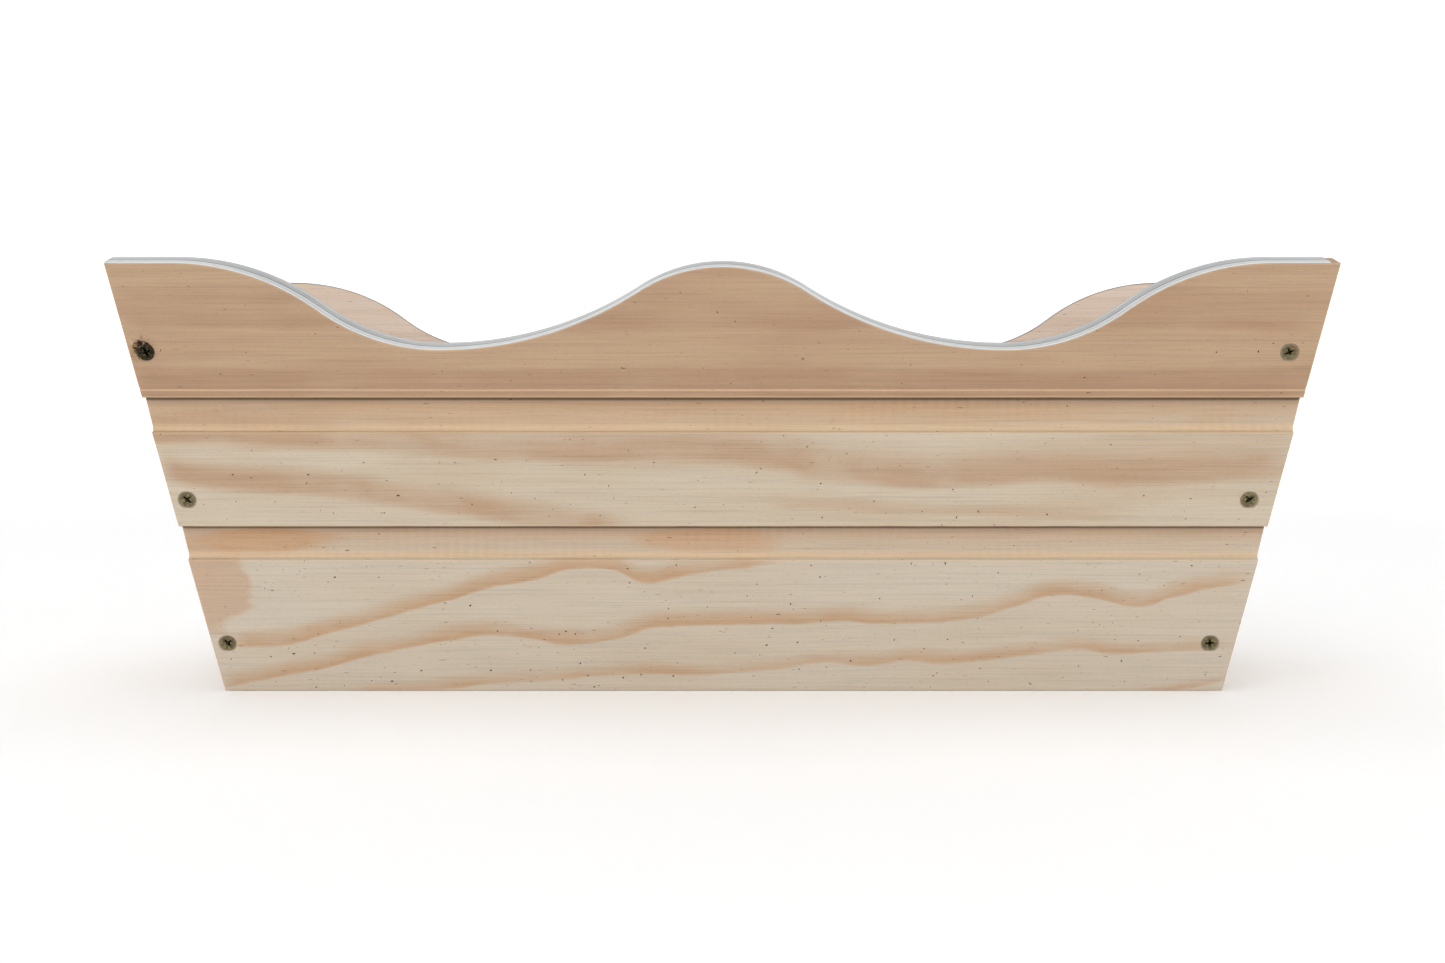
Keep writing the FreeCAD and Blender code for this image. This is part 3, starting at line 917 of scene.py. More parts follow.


# %% [markdown]
# ## Torn fibres
# At one screw the driver slipped and tore the wood. Softwood tears into short fibres that lie
# outwards from the hole like the hairs of a brush. A second node tree plants one tapered fibre
# on every point of a ring, leans it along its facing, and gives it its own size from a fixed
# seed. The fibres are then made part of the board that they belong to.

# %% The tree that plants fibres
def fibre_tree():
    """Instances of a fibre on points, with uneven lengths."""
    tree = bpy.data.node_groups.new("Torn fibres", "GeometryNodeTree")
    face = tree.interface
    face.new_socket("Geometry", in_out="INPUT", socket_type="NodeSocketGeometry")
    face.new_socket("Length", in_out="INPUT", socket_type="NodeSocketFloat")
    face.new_socket("Thickness", in_out="INPUT", socket_type="NodeSocketFloat")
    face.new_socket("Unevenness seed", in_out="INPUT", socket_type="NodeSocketInt")
    face.new_socket("Finish", in_out="INPUT", socket_type="NodeSocketMaterial")
    face.new_socket("Geometry", in_out="OUTPUT", socket_type="NodeSocketGeometry")
    net = Net(tree)
    given = net.node("NodeGroupInput")
    facing = net.node("GeometryNodeInputNamedAttribute", {"data_type": "FLOAT_VECTOR"},
                      {"Name": "facing"})["Attribute"]
    lean = net.node("FunctionNodeAlignRotationToVector", {"axis": "Z"},
                    {"Vector": facing})["Rotation"]
    cone = net.node("GeometryNodeMeshCone", {"fill_type": "NGON"},
                    {"Vertices": 5, "Side Segments": 3, "Radius Bottom": given["Thickness"],
                     "Radius Top": given["Thickness"] * 0.15, "Depth": given["Length"]})["Mesh"]
    size = net.node("FunctionNodeRandomValue", {"data_type": "FLOAT"},
                    {"Min": 0.35, "Max": 1.15, "Seed": given["Unevenness seed"]})["Value"]
    copies = net.node("GeometryNodeInstanceOnPoints", {},
                      {"Points": given["Geometry"], "Instance": cone, "Rotation": lean,
                       "Scale": size})["Instances"]
    real = net.node("GeometryNodeRealizeInstances", {}, {"Geometry": copies})["Geometry"]
    painted = net.node("GeometryNodeSetMaterial", {},
                       {"Geometry": real, "Material": given["Finish"]})["Geometry"]
    net.node("NodeGroupOutput", {}, {"Geometry": painted})
    return tree


planting = fibre_tree()
print("fibre tree:", len(planting.nodes), "nodes")


# %% [markdown]
# The roots stand on the upper left part of the pit's edge, where the driver ran out. Most fibres
# lie outwards and a few fold back over the hole, as they do on a real slip.

# %% Plant the fibres
splinter_wood = bpy.data.materials.new("torn fibres")
dice = random.Random(5)
roots, leans = [], []
for step in range(46):
    angle = radians(50 + 210 * step / 45 + dice.uniform(-3, 3))
    spoke = Vector((cos(angle), 0, 0)) + UP_SLANT * sin(angle)
    reach = dice.uniform(3.6, 5.0) * MM
    roots.append(torn_spot + TORN_ASIDE + spoke * reach - torn_out * 0.12 * MM)
    inwards = -1 if dice.random() < 0.3 else 1
    leans.append((spoke * inwards + torn_out * dice.uniform(-0.05, 0.12)).normalized())
fibres = grown("torn_fibres", roots, {"facing": leans}, planting,
               {"Length": 2.6 * MM, "Thickness": 0.2 * MM, "Unevenness seed": 3,
                "Finish": splinter_wood})
print("fibres:", len(fibres.data.polygons), "faces")


# %% [markdown]
# ## The metal guards
# A thin strip of soft aluminium is bent over each rim so that the animals cannot gnaw it. It is
# as wide as the board is thick. Its long edges are slightly rounded, and the rollers that drew
# it left two shallow lengthwise furrows. A Curve with a bevel profile could make it, but a loft
# keeps the strip square to the rim and lets it stop short of one end. How far across the strip
# each point lies is written on the mesh as `across`, for the finish to read.

# %% A strip along a path
GUARD = 0.5 * MM
GUARD_SHORT = END_SHIFT
FURROWS = (5.6 * MM, 8.2 * MM)
FURROW_DEEP = 0.14 * MM
FURROW_WIDE = 0.5 * MM


def strip_section():
    """Points (depth across the rim, lift above it) of the guard's section."""
    edge = [(0.12 * MM, 0.0), (0.04 * MM, 0.03 * MM), (0.0, 0.12 * MM), (0.0, GUARD - 0.18 * MM),
            (0.05 * MM, GUARD - 0.05 * MM), (0.18 * MM, GUARD)]
    top = []
    for furrow in FURROWS:
        top += [(furrow - FURROW_WIDE, GUARD), (furrow, GUARD - FURROW_DEEP),
                (furrow + FURROW_WIDE, GUARD)]
    far_edge = [(BOARD - depth, lift) for depth, lift in reversed(edge)]
    under = [(BOARD * (1 - step / 6), 0.0) for step in range(1, 6)]
    return edge + top + far_edge + under


def guard(wall, first_short, last_short):
    """The guard of one wall, which may stop short of either end."""
    turn, out, lean = WALLS[wall]
    place = stand(turn, out, lean)
    long_wall = wall in ("front", "back")
    section = strip_section()
    reach = HALF_BASE_LENGTH if long_wall else HALF_BASE_DEPTH
    count = round(2 * reach / (2.5 * MM))
    rings = []
    for step in range(count + 1):
        share = 2 * step / count - 1
        ring = []
        for depth, lift in section:
            along = share * reach
            for _ in range(3):
                up = rim_up(along, lift) if long_wall else END_SLANT + lift
                half = half_length(wall, up * cos(lean) + depth * sin(lean))
                low, high = -half + first_short, half - last_short
                along = low + (high - low) * step / count
            ring.append(place @ Vector((along, depth, up)))
        rings.append(ring)
    strip = mesh_object(f"{wall}_rim_strip", loft(rings))
    layer = strip.data.attributes.new("across", "FLOAT", "POINT")
    layer.data.foreach_set("value", [depth / BOARD for depth, _ in section] * len(rings))
    return strip


guards = {
    "front": guard("front", 0.0, GUARD_SHORT),
    "back": guard("back", GUARD_SHORT, 0.0),
    "left": guard("left", 0.0, 0.0),
    "right": guard("right", 0.0, 0.0),
}
print("guards:", {wall: len(piece.data.polygons) for wall, piece in guards.items()})


# %% [markdown]
# ## Finishes
# Every finish is worked out by nodes from the place of a point in the object, so there is no
# picture to stretch and the pattern runs through the wood as it does in a real plank. The same
# few steps come back in every finish: a noise of a given size, a mix of two colours, a shade, a
# bump. They are named once here, on top of the `Net` from before.

# %% Shared finish helpers
def paint(red, green, blue):
    """A colour from a paint chart (0 to 255), as linear light."""
    linear = [((value / 255 + 0.055) / 1.055) ** 2.4 if value > 10 else value / 3295
              for value in (red, green, blue)]
    return (*linear, 1.0)


class Finish(Net):
    """The node tree of one material."""

    def __init__(self, name, material=None):
        self.material = material or bpy.data.materials.new(name)
        self.material.use_nodes = True
        super().__init__(self.material.node_tree)
        self.place = self.node("ShaderNodeTexCoord")["Object"]

    def stretched(self, vector, sizes):
        """A vector divided by a size in each direction."""
        made = self.node("ShaderNodeVectorMath", {"operation": "DIVIDE"}, {0: vector, 1: sizes})
        return made["Vector"]

    def noise(self, vector, sizes, detail=2.0, roughness=0.5):
        """Cloudy noise from 0 to 1 with features of these sizes."""
        inputs = {"Vector": self.stretched(vector, sizes), "Scale": 1.0, "Detail": detail,
                  "Roughness": roughness}
        return self.node("ShaderNodeTexNoise", {}, inputs)["Fac"]

    def blend(self, first, second, share, kind="MIX"):
        """Mix two colours."""
        settings = {"data_type": "RGBA", "blend_type": kind, "clamp_factor": True}
        made = self.node("ShaderNodeMix", settings, {"Factor": share, "A": first, "B": second})
        return made["Result"]

    def shade(self, colour, factor):
        """A colour made lighter or darker by a factor."""
        made = self.node("ShaderNodeVectorMath", {"operation": "SCALE"}, {0: colour, 3: factor})
        return made["Vector"]

    def attribute(self, name):
        """A number written on the mesh."""
        return self.node("ShaderNodeAttribute", {"attribute_name": name})["Fac"]

    def bump(self, height, distance, strength=1.0):
        """A Bump node for a height from 0 to 1."""
        inputs = {"Height": height, "Distance": distance, "Strength": strength}
        return self.node("ShaderNodeBump", {}, inputs)["Normal"]

    def surface(self, inputs):
        """End the tree with a Principled shader."""
        shader = self.node("ShaderNodeBsdfPrincipled", {}, inputs)["BSDF"]
        self.node("ShaderNodeOutputMaterial", {}, {"Surface": shader})
        return self.material


print("a pale pine in linear light:", [round(part, 3) for part in paint(206, 184, 156)[:3]])


# %% [markdown]
# ### Pine
# Planed pine is pale sapwood crossed by bands of tan latewood. The bands are the year rings of
# the trunk, so they are worked out in the solid: rings about a pith line that lies outside the
# board, bent by slow noise, with each ring darkening softly and ending sharply.

# %% Figure in the wood
def latewood(net, along, up, sway, ripple, streak):
    """One band of latewood along a path: a soft side above and a sharp line below."""
    curve_node = net.node("ShaderNodeFloatCurve", {}, {"Value": along / 600 + 0.5})
    curve = curve_node.node.mapping.curves[0]
    path = streak["path"]
    points = [(place / 600 + 0.5, rise / SLANT * MM) for place, rise in path]
    curve.points[0].location = (0.0, points[0][1])
    curve.points[1].location = (1.0, points[-1][1])
    for point in points:
        curve.points.new(*point)
    curve_node.node.mapping.update()
    above = up - curve_node["Value"] * (SLANT / MM) + ripple * 5.0 + sway * 3.0
    under, over = streak.get("under", 1.4), streak["soft"]
    band = above.smooth(-under, under * 0.6) * (1 - above.smooth(streak.get("flat", 0.1) * over, over))
    line = above.smooth(-under, 0.2) * (1 - above.smooth(0.6, 3.6))
    reach = (along - path[0][0]).smooth(0, 14) * (path[-1][0] - along).smooth(0, 30)
    return band * reach, line * reach


def area(along, depth, up, ripple, blot):
    """A patch of other wood with a wavy outline; a pit blot is painted shade kept to wood below the
    face.
    """
    off_x = (along - blot["at"][0]) / blot["size"][0]
    off_up = (up - blot["at"][1]) / blot["size"][1]
    away = (off_x * off_x + off_up * off_up).maths("SQRT") + ripple * 0.7
    mask = 1 - away.smooth(1 - blot["soft"], 1.0)
    return mask * depth.smooth(0.15, 1.1) if blot.get("pit") else mask


print("latewood:", latewood.__doc__)


# %% [markdown]
# A pattern that belongs to a wall has to be laid in that wall. The trough's coordinates are
# turned back into *along*, *depth* and *up*, in millimetres, by a Mapping node that undoes the
# wall's matrix. The year rings are then circles round a pith line somewhere outside the board.
# Each ring darkens slowly and ends at once, and no two rings are equally strong.

# %% Where a point lies in its wall, and its year ring
def laid_in(net, wall):
    """Place in the wall's own frame, in millimetres."""
    turn, out, lean = WALLS.get(wall, (0.0, 0.0, 0.0))
    base = Matrix.Rotation(turn, 3, "Z") @ Vector((0, -out, 0))
    laid = net.node("ShaderNodeMapping", {"vector_type": "TEXTURE"},
                    {"Vector": net.place, "Location": base, "Rotation": (lean, 0, turn)})
    return net.stretched(laid["Vector"], (MM, MM, MM))


def latewood_rings(net, along, depth, up, sway, ripple, look):
    """How much latewood a point has, from 0 to 1."""
    level = up + along * look["slope"] + sway * look["sway"] + ripple * look["ripple"]
    pith_up, pith_deep = look["pith"]
    across = level - pith_up
    inward = depth - pith_deep
    ring = (across * across + inward * inward).maths("SQRT") / look["spacing"] + look["seed"]
    phase = ring.maths("FRACT")
    weight = net.node("ShaderNodeTexWhiteNoise", {"noise_dimensions": "1D"},
                      {"W": ring.maths("FLOOR")})["Value"]
    late = phase.smooth(0.2, 0.86) * (1 - phase.smooth(0.88, 1.0))
    return late * (0.25 + 0.75 * weight) * look["contrast"]


print("year rings:", latewood_rings.__doc__)


# %% [markdown]
# ### Coves and lips
# The hollow of a cove is a shade more orange, and the tan deepens towards the lip as painted
# shade. Its foot carries a painted highlight, and a painted shadow lies under the lip above.
# The lip itself has painted shade on its lower edge, and the scratched groove above the upper
# lip is painted pale as a highlight. These marks follow the section, so they are drawn from a
# point's height above the lip.

# %% Marks that follow the section
COVE_TALL = COVE / MM
CHATTER = 0.07


def cove_marks(net, colour, course, along, depth, up, sway, patch):
    """The tan of a cove with painted shade towards the lip, a painted highlight at its foot and a
    painted shadow under the lip above.
    """
    lip = NEXT_LIP[course] / MM
    above_foot = up - (lip - COVE_TALL)
    below_lip = up - lip
    in_cove = above_foot.smooth(0.0, 0.4) * depth.smooth(0.1, 1.5) * (1 - depth.smooth(5.0, 5.5))
    # The cove is a shade more orange, and the tan deepens towards the lip as painted shade.
    colour = net.blend(colour, paint(196, 150, 106),
                       in_cove * (0.2 + 0.35 * above_foot.smooth(4, 17)))
    # Painted highlight at the foot of the cove.
    foot_highlight = in_cove * (1 - above_foot.smooth(1.0, 5.0))
    colour = net.blend(colour, paint(226, 198, 162), foot_highlight * 0.8)
    # Painted shadow under the lip above, strongest close to it.
    lip_shadow = below_lip.smooth(-6.5, -1.7) * 0.2 + below_lip.smooth(-2.9, -1.9) * 0.5
    wave = (along / 2.6 + sway * 3).maths("PINGPONG", 1.0) - 0.5
    return net.shade(colour, 1 - (lip_shadow + wave * patch * CHATTER) * in_cove)


def lip_marks(net, colour, course, depth, up):
    """Painted shade on the lower edge of a lip and a painted highlight in the groove above the upper
    one.
    """
    rise = up - LIPS[course] / MM
    face = 1 - depth.smooth(1.0, 1.6)
    # Painted shade on the lower edge of the lip.
    colour = net.shade(colour, 1 - 0.34 * (1 - rise.smooth(0.1, 0.9)) * face)
    if course == "upper":
        # Painted highlight in the groove above the upper lip.
        groove = 1 - (rise - 4.0).maths("ABSOLUTE").smooth(0.15, 0.65)
        colour = net.blend(colour, paint(216, 184, 150), groove * face * 0.75)
    return colour


print("coves", COVE_TALL, "mm tall, lips at", [round(lip / MM, 1) for lip in LIPS.values()])


# %% [markdown]
# ### The whole pine finish
# From large to small: sapwood with clouds of warmer wood, year rings, the drawn streaks and
# blots, the marks of the section, the sawn ends, then fibres, hairs, specks, a painted highlight on
# the arrises and painted shade on the sawn ends.
# The bump is only a few hundredths of a millimetre, because planed wood is nearly flat.

# %% Pine
def pine(name, wall, course, look):
    """The wood of one board."""
    net = Finish(name)
    local = laid_in(net, wall)
    parts = net.node("ShaderNodeSeparateXYZ", {}, {"Vector": local})
    along, depth, up = parts["X"], parts["Y"], parts["Z"]
    shifted = net.node("ShaderNodeVectorMath", {"operation": "ADD"},
                       {0: local, 1: (look["seed"] * 917.0, look["seed"] * 311.0, 0)})["Vector"]
    sway = net.noise(shifted, (150, 60, 40), 2) - 0.5
    ripple = net.noise(shifted, (34, 14, 9), 3) - 0.5
    late = latewood_rings(net, along, depth, up, sway, ripple, look)
    patch = net.noise(shifted, (120, 40, 22), 3).smooth(0.4, 0.7)
    colour = net.blend(look["early"], look["patch"], patch * look["patchy"])
    colour = net.blend(colour, look["late"], late)
    edge = 0.0
    for blot in look["blots"]:
        mask = area(along, depth, up, ripple, blot)
        colour = net.blend(colour, blot["colour"], mask * blot["strength"])
    for streak in look["streaks"]:
        band, line = latewood(net, along, up + depth * 0.4, sway, ripple, streak)
        thick = net.noise(shifted, (40, 60, 30), 2).smooth(0.25, 0.6) * 0.5 + 0.5
        strength = thick * streak["strength"]
        colour = net.blend(colour, look["late"], band * strength)
        colour = net.blend(colour, look["line"], line * strength * look["crisp"])
        edge = line * 0.3 + edge
    if course in NEXT_LIP:
        colour = cove_marks(net, colour, course, along, depth, up, sway, patch)
    if course in LIPS:
        colour = lip_marks(net, colour, course, depth, up)
    end_grain = net.attribute("end_grain")
    colour = net.blend(colour, paint(178, 138, 104), end_grain.smooth(0.7, 0.9) * 0.55)

    fibre = net.noise(shifted, (70, 1.6, 1.1), 3, 0.65)
    hair = net.noise(shifted, (64, 0.5, 0.4), 2, 0.6)
    fleck = net.noise(shifted, (2.2, 0.9, 0.8), 2)
    dark = fibre.smooth(0.45, 0.75) * 0.09 + hair.smooth(0.45, 0.7) * 0.11
    dark = dark + fleck.smooth(0.5, 0.7) * 0.05
    speck = net.noise(shifted, (4.5, 1.2, 0.7), 1).smooth(0.755, 0.785)
    dot = net.noise(shifted, (1.6, 1.6, 1.6), 0).smooth(0.86, 0.88)
    colour = net.shade(colour, 0.99 - dark)
    colour = net.blend(colour, paint(120, 84, 54), speck * 0.8)
    colour = net.blend(colour, paint(52, 40, 30), dot)

    # Painted highlight along the arrises. The sawn ends are darkened further as painted shade, on top
    # of their end grain tone.
    sawn = end_grain.smooth(0.12, 0.4)
    arris = net.attribute("arris") * (1 - sawn)
    colour = net.blend(colour, paint(220, 186, 148), arris * 0.5)
    colour = net.blend(colour, paint(138, 104, 78), sawn * 0.5)
    height = fibre * 0.5 + hair * 0.5 - speck * 0.8 + late * 0.4 + edge
    rough = 0.56 + fibre * 0.12 + patch * 0.05
    return net.surface({"Base Color": colour, "Roughness": rough,
                        "Normal": net.bump(height, 0.08 * MM, 0.6),
                        "IOR": 1.45, "Specular IOR Level": 0.35})


print("pine finish ready for", len(boards), "boards")


# %% [markdown]
# ### What makes each board its own
# A plain board needs only a set of colours and ring sizes. The three front boards are the face
# of the trough, so each also gets its own streaks and blots. A streak is a list of places
# (along, up) in millimetres that the line of latewood passes through. A blot is a patch with a
# middle and a size. The wood round the torn screw is bruised, and its pit is painted dark as shade.

# %% The looks of the boards
TORN_ALONG = torn_spot.x / MM
TORN_UP = SCREW_RISE["upper"] / MM
PLAIN = {"early": paint(206, 184, 156), "late": paint(190, 150, 114), "patch": paint(198, 170, 140),
         "line": paint(186, 136, 96), "slope": 0.0, "sway": 22, "ripple": 5, "pith": (20, 90),
         "spacing": 12.0, "contrast": 0.55, "patchy": 0.6, "seed": 1.0, "crisp": 0.5,
         "streaks": [], "blots": []}
LOOKS = {
    ("front", "upper"): {
        **PLAIN, "early": paint(190, 160, 130), "late": paint(170, 134, 107),
        "patch": paint(180, 146, 117), "line": paint(168, 128, 100), "seed": 1.3,
        "contrast": 0.22, "spacing": 17.0, "sway": 7, "ripple": 3, "patchy": 0.8, "crisp": 0.3,
        "streaks": [
            {"path": [(-300, 199), (-200, 198), (-60, 197), (120, 198), (300, 197)], "soft": 12,
             "strength": 0.5, "under": 2.5},
            {"path": [(-300, 161), (-100, 160), (100, 161), (300, 160)], "soft": 18,
             "strength": 0.6, "flat": 0.75, "under": 2.0},
            {"path": [(-300, 213), (-190, 212), (-150, 211)], "soft": 9, "strength": 0.35,
             "under": 3.0},
        ],
        "blots": [
            {"at": (TORN_ALONG - 1.2, TORN_UP + 1.4), "size": (8.5, 7.5), "soft": 0.7, "strength": 0.4,
             "colour": paint(120, 86, 58)},
            # The pit is painted dark as shade, only where the wood lies deeper than its face.
            {"at": (TORN_ALONG, TORN_UP), "size": (9, 9), "soft": 0.3, "strength": 0.9, "pit": True,
             "colour": paint(44, 30, 20)},
        ]},
    ("front", "middle"): {
        **PLAIN, "early": paint(207, 193, 172), "late": paint(186, 152, 122),
        "patch": paint(198, 174, 146), "line": paint(184, 147, 114), "seed": 2.2,
        "contrast": 0.12, "sway": 10, "slope": 0.06, "patchy": 0.6, "crisp": 0.15,
        "streaks": [
            {"path": [(-290, 120), (-263, 115), (-232, 113), (-201, 110), (-170, 106), (-139, 101),
                      (-118, 97), (-87, 92), (-40, 86)], "soft": 17, "strength": 0.85,
             "under": 4.0, "flat": 0.35},
            {"path": [(-300, 139), (-245, 138), (-160, 133), (-118, 130), (-77, 129), (0, 128),
                      (30, 125), (51, 119), (73, 117), (104, 115), (136, 117), (157, 119),
                      (199, 116), (241, 118), (300, 122)], "soft": 23, "strength": 0.8,
             "under": 4.5, "flat": 0.3},
            {"path": [(20, 103), (60, 102), (100, 100), (150, 99), (210, 95)], "soft": 8,
             "strength": 0.4, "under": 3.0},
        ],
        "blots": [{"at": (-10, 152), "size": (330, 9), "soft": 0.4, "strength": 0.35,
                   "colour": paint(208, 168, 128)}]},
    ("front", "lower"): {
        **PLAIN, "early": paint(207, 195, 177), "late": paint(196, 162, 128), "crisp": 0.4,
        "patch": paint(203, 187, 165), "line": paint(192, 146, 106), "seed": 3.1,
        "contrast": 0.08, "sway": 8, "slope": -0.05, "patchy": 0.5,
        "streaks": [
            {"path": [(-262, 25), (-229, 27), (-207, 34), (-186, 39), (-164, 46), (-142, 52),
                      (-121, 60), (-99, 64), (-78, 70), (-57, 69), (-40, 62), (-25, 65), (0, 69),
                      (35, 73)], "soft": 12, "strength": 0.85, "flat": 0.25},
            {"path": [(-268, 3), (-243, 7), (-226, 11), (-209, 14), (-191, 20), (-169, 24),
                      (-143, 30), (-122, 32), (-100, 29), (-79, 27), (-58, 30), (-36, 37),
                      (-12, 38), (31, 39), (60, 41), (79, 39), (107, 39), (129, 42), (150, 48),
                      (172, 55), (193, 54), (216, 49), (235, 55), (285, 64)],
             "soft": 11, "strength": 0.8, "flat": 0.2},
            {"path": [(-200, -2), (-155, 1), (-123, 4), (-80, 7), (-47, 10), (-12, 10), (10, 12),
                      (31, 14), (53, 17), (75, 16), (97, 18), (119, 17), (141, 19), (163, 22),
                      (185, 25), (206, 22), (228, 23), (275, 26)],
             "soft": 9, "strength": 0.7, "flat": 0.2},
            {"path": [(215, -2), (235, 1), (250, 3), (280, 10)], "soft": 6, "strength": 0.6},
        ],
        "blots": [{"at": (-280, 60), "size": (40, 30), "soft": 0.16, "strength": 0.65,
                   "colour": paint(196, 160, 130)},
                  {"at": (-235, 84), "size": (42, 9), "soft": 0.4, "strength": 0.7,
                   "colour": paint(200, 156, 116)},
                  {"at": (-8, 84), "size": (46, 9), "soft": 0.5, "strength": 0.5,
                   "colour": paint(202, 154, 112)}]},
}
print(len(LOOKS), "boards with streaks of their own, the rest plain")


# %% [markdown]
# ### The guard's aluminium
# Rolled strip is satin, with fine lines along its length. It is not polished, so it is only
# partly metallic here, which keeps it pale in a white room. The `across` attribute places painted
# shade in the first furrow and on the far edge, and makes the far half a little greyer.

# %% Aluminium
def aluminium():
    """Satin guard strip."""
    net = Finish("guard metal")
    lines = net.noise(net.place, (0.2, 0.0006, 0.0006), 3, 0.6)
    cloud = net.noise(net.place, (0.05, 0.01, 0.01), 2)
    colour = net.blend(paint(212, 215, 214), paint(238, 240, 240), lines * 0.6 + cloud * 0.4)
    across = net.attribute("across")
    # Painted shade in the first furrow and on the far edge; the far half is a little greyer.
    furrow_shade = 1 - (across - 0.42).maths("ABSOLUTE").smooth(0.015, 0.05)
    back = across.smooth(0.4, 0.46)
    colour = net.shade(colour, 1 - furrow_shade * 0.5 - back * 0.2 - across.smooth(0.93, 0.99) * 0.35)
    normal = net.bump(lines, 0.03 * MM, 0.5)
    return net.surface({"Base Color": colour, "Metallic": 0.7, "Roughness": 0.3 + lines * 0.18,
                        "Normal": normal})


metal = aluminium()
print("finish:", metal.name)


# %% [markdown]
# ### The screws' yellow zinc
# Passivated zinc is a thin film, and its colour drifts between straw, olive and copper over a
# millimetre or two. The chamfer round the head is grey, and the recess carries painted shade.
# The head in the torn pit is darkened unevenly as painted shade.

# %% Yellow zinc
def yellow_zinc(material):
    """Passivated zinc."""
    net = Finish("zinc", material)
    cloud = net.noise(net.place, (0.0017, 0.0017, 0.0017), 3)
    spot = net.noise(net.place, (0.0007, 0.0007, 0.0007), 2)
    colour = net.blend(paint(140, 128, 88), paint(98, 94, 74), cloud.smooth(0.38, 0.55))
    colour = net.blend(colour, paint(170, 124, 92), cloud.smooth(0.58, 0.7) * 0.7)
    colour = net.shade(colour, 0.7 + spot * 0.6)
    colour = net.blend(colour, paint(132, 124, 106), net.attribute("rim"))
    # Painted shade in the cross recess.
    colour = net.shade(colour, 1 - net.attribute("pocket") * 0.75)
    # Painted shade on the head in the torn pit, made uneven by a noise.
    away = net.node("ShaderNodeVectorMath", {"operation": "DISTANCE"},
                    {0: net.place, 1: tuple(torn_spot)})["Value"]
    in_pit = 1 - away.smooth(6 * MM, 8 * MM)
    uneven_shade = net.noise(net.place, (0.0012, 0.0012, 0.0012), 2).smooth(0.34, 0.5)
    colour = net.shade(colour, 1 - in_pit * (0.45 + 0.4 * uneven_shade))
    normal = net.bump(spot, 0.03 * MM, 0.5)
    return net.surface({"Base Color": colour, "Metallic": 1.0, "Roughness": 0.2 + spot * 0.25,
                        "Normal": normal})


yellow_zinc(zinc)
print("finish:", zinc.name)


# %% [markdown]
# ### Torn wood
# The inside of a fibre is paler than planed wood, mixed with darker wood in small patches.

# %% Torn wood
def torn_wood(material):
    """Freshly torn fibres, pale and dark in small patches."""
    net = Finish("torn fibres", material)
    mixed = net.noise(net.place, (0.0006, 0.0006, 0.0006), 1)
    colour = net.blend(paint(96, 66, 44), paint(206, 172, 134), mixed.smooth(0.4, 0.6))
    return net.surface({"Base Color": colour, "Roughness": 0.6 + mixed * 0.2,
                        "Normal": net.bump(mixed, 0.02 * MM, 0.4)})


torn_wood(splinter_wood)
print("finish:", splinter_wood.name)


# %% [markdown]
# ## Putting the finishes on
# The inner faces of the back catch more light and look paler, so its boards are given lighter
# wood. The fibres are joined to the board that they were torn from, and keep their own material
# in a second slot.

# %% Finish every piece
for index, ((wall, course), board) in enumerate(boards.items()):
    look = LOOKS.get((wall, course), {**PLAIN, "seed": 4.0 + index * 1.37})
    if wall == "back":
        look = {**look, "early": paint(240, 222, 206), "late": paint(222, 190, 160),
                "patch": paint(232, 208, 188), "contrast": 0.4}
    board.data.materials.clear()
    board.data.materials.append(pine(f"pine {wall} {course}", wall, course, look))
for piece in guards.values():
    piece.data.materials.append(metal)
with bpy.context.temp_override(active_object=boards["front", "upper"],
                               selected_editable_objects=[boards["front", "upper"], fibres]):
    bpy.ops.object.join()
print("material slots of the torn board:", len(boards["front", "upper"].data.materials))


# %% [markdown]
# ## Handing the pieces over
# Each piece is attached to the body that it rides on, and the part of the engineering model that
# it stands for is hidden. Nothing moves on this trough, so everything rides on the root.

# %% Hand the pieces to the frame
for (wall, course), board in boards.items():
    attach(board, "root")
    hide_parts("floor_board" if wall == "floor" else f"{wall}_{course}_board")
for wall, piece in guards.items():
    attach(piece, "root")
    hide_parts(f"{wall}_rim_guard")
for node, piece in screws.items():
    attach(piece, "root")
    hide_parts(node)
print(len(boards) + len(guards) + len(screws), "pieces handed over")


# %% [markdown]
# ## The studio
# The trough stands in a white bowl: a flat floor that curves up into a wall, so that no horizon
# shows from any side. The bowl glows faintly, more on the wall than on the floor, which keeps
# the background white and still leaves a soft shadow at the trough's foot.

# %% Floor and backdrop
FLOOR_GLOW = 0.18
WALL_GLOW = 0.38
FLOOR_REACH = 2.4
SWEEP_RADIUS = 0.9
SWEEP_STEPS = 12
WALL_TOP = 2.8
BOWL_SIDES = 96


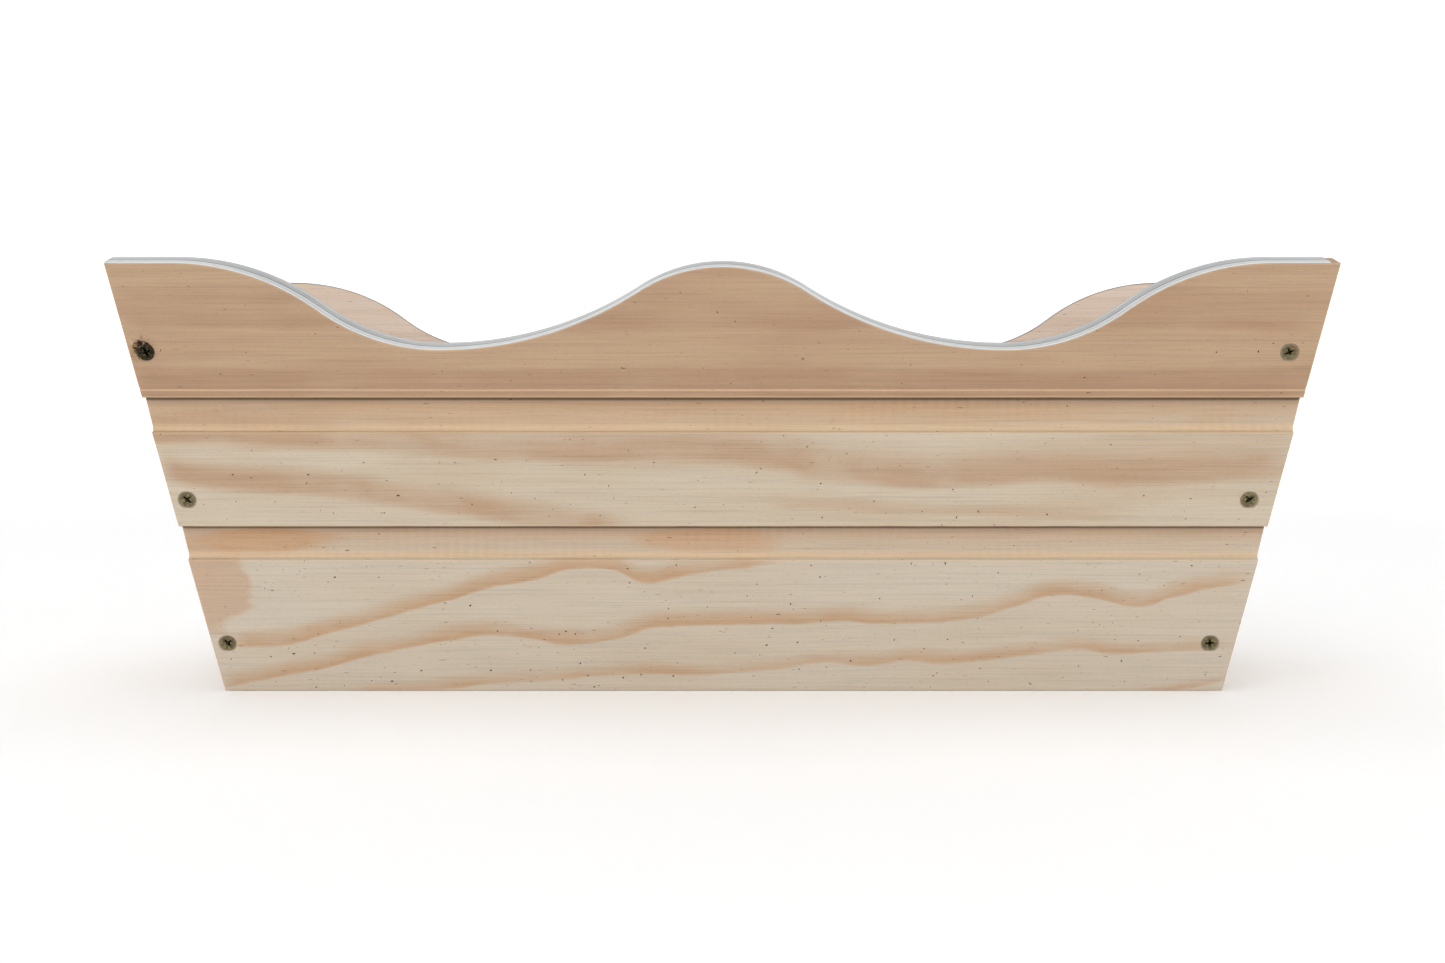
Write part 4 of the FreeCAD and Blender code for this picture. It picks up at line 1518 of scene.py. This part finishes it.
def sweep_stage():
    """A round white floor that curves up into a wall."""
    profile = [(0.02, 0.0), (1.0, 0.0), (FLOOR_REACH, 0.0)]
    for step in range(1, SWEEP_STEPS + 1):
        angle = pi / 2 * step / SWEEP_STEPS
        profile.append((FLOOR_REACH + SWEEP_RADIUS * sin(angle), SWEEP_RADIUS * (1 - cos(angle))))
    profile.append((FLOOR_REACH + SWEEP_RADIUS, WALL_TOP))
    bm = bmesh.new()
    rows = []
    for radius, height in profile:
        turns = [2 * pi * index / BOWL_SIDES for index in range(BOWL_SIDES)]
        rows.append([bm.verts.new((radius * cos(turn), radius * sin(turn), height))
                     for turn in turns])
    for near, far in zip(rows, rows[1:]):
        for index in range(BOWL_SIDES):
            after = (index + 1) % BOWL_SIDES
            bm.faces.new((near[index], near[after], far[after], far[index]))
    bm.faces.new(rows[0])
    made = mesh_object("studio", bm)
    net = Finish("studio white")
    tone = net.noise(net.place, (1.5, 1.5, 1.5), 1)
    away = net.node("ShaderNodeVectorMath", {"operation": "LENGTH"}, {0: net.place})["Value"]
    glow = net.blend((FLOOR_GLOW,) * 3 + (1,), (WALL_GLOW,) * 3 + (1,), away.smooth(0.9, 2.6))
    colour = net.blend(paint(240, 240, 240), paint(246, 246, 246), tone)
    made.data.materials.append(net.surface({"Base Color": colour, "Roughness": 0.9 + tone * 0.05,
                                            "Emission Color": glow, "Emission Strength": 1.0}))
    return made


studio = sweep_stage()
print("studio", len(studio.data.polygons), "faces")


# %% [markdown]
# ## Light
# A large key light stands in front and to the left, a larger one hangs overhead, and a weak one
# fills from the right. Large lights close by give soft edges, and the overhead light casts the
# shadow under each lip, which the pine finish deepens with painted shadow.

# %% Lights
def soft_light(name, spot, target, wide, tall, power):
    """A rectangular soft light aimed at a target."""
    data = bpy.data.lights.new(name, "AREA")
    data.shape = "RECTANGLE"
    data.size, data.size_y, data.energy = wide, tall, power
    made = bpy.data.objects.new(name, data)
    bpy.context.scene.collection.objects.link(made)
    made.location = spot
    made.rotation_euler = (Vector(target) - Vector(spot)).to_track_quat("-Z", "Y").to_euler()
    return made


soft_light("key", (-0.5, -1.5, 2.0), (0, 0, 0.1), 1.4, 1.0, 9)
soft_light("top", (0, 0.1, 2.6), (0, 0, 0), 2.2, 2.2, 22)
soft_light("right fill", (1.9, -1.2, 1.2), (0, 0, 0.1), 1.0, 1.0, 1.5)
world = bpy.data.worlds.new("studio air")
world.use_nodes = True
world.node_tree.nodes["Background"].inputs["Color"].default_value = (1, 1, 1, 1)
world.node_tree.nodes["Background"].inputs["Strength"].default_value = 0.2
bpy.context.scene.world = world
print("lights:", [light.name for light in bpy.data.lights])


# %% [markdown]
# ## The camera
# The camera stands square on to the front, level with the upper boards, a little under a metre
# away. It is not tilted: the lens is shifted instead, as on a view camera, so that the leaning
# ends stay true. The Standard view keeps the white of the studio white.

# %% Camera
camera_data = bpy.data.cameras.new("camera")
camera_data.lens = 38.6
camera_data.sensor_width = 36
camera_data.shift_x = -0.0126
camera_data.shift_y = -0.0678
camera = bpy.data.objects.new("camera", camera_data)
bpy.context.scene.collection.objects.link(camera)
camera.location = (0.009, -0.871, 0.1627)
camera.rotation_euler = (pi / 2, 0, 0)
bpy.context.scene.camera = camera
bpy.context.scene.view_settings.view_transform = "Standard"
print("camera", round(camera.location.length, 3), "m from the trough's foot")

# %% [markdown]
# ## The size
# What was made must not be larger than the engineering model.
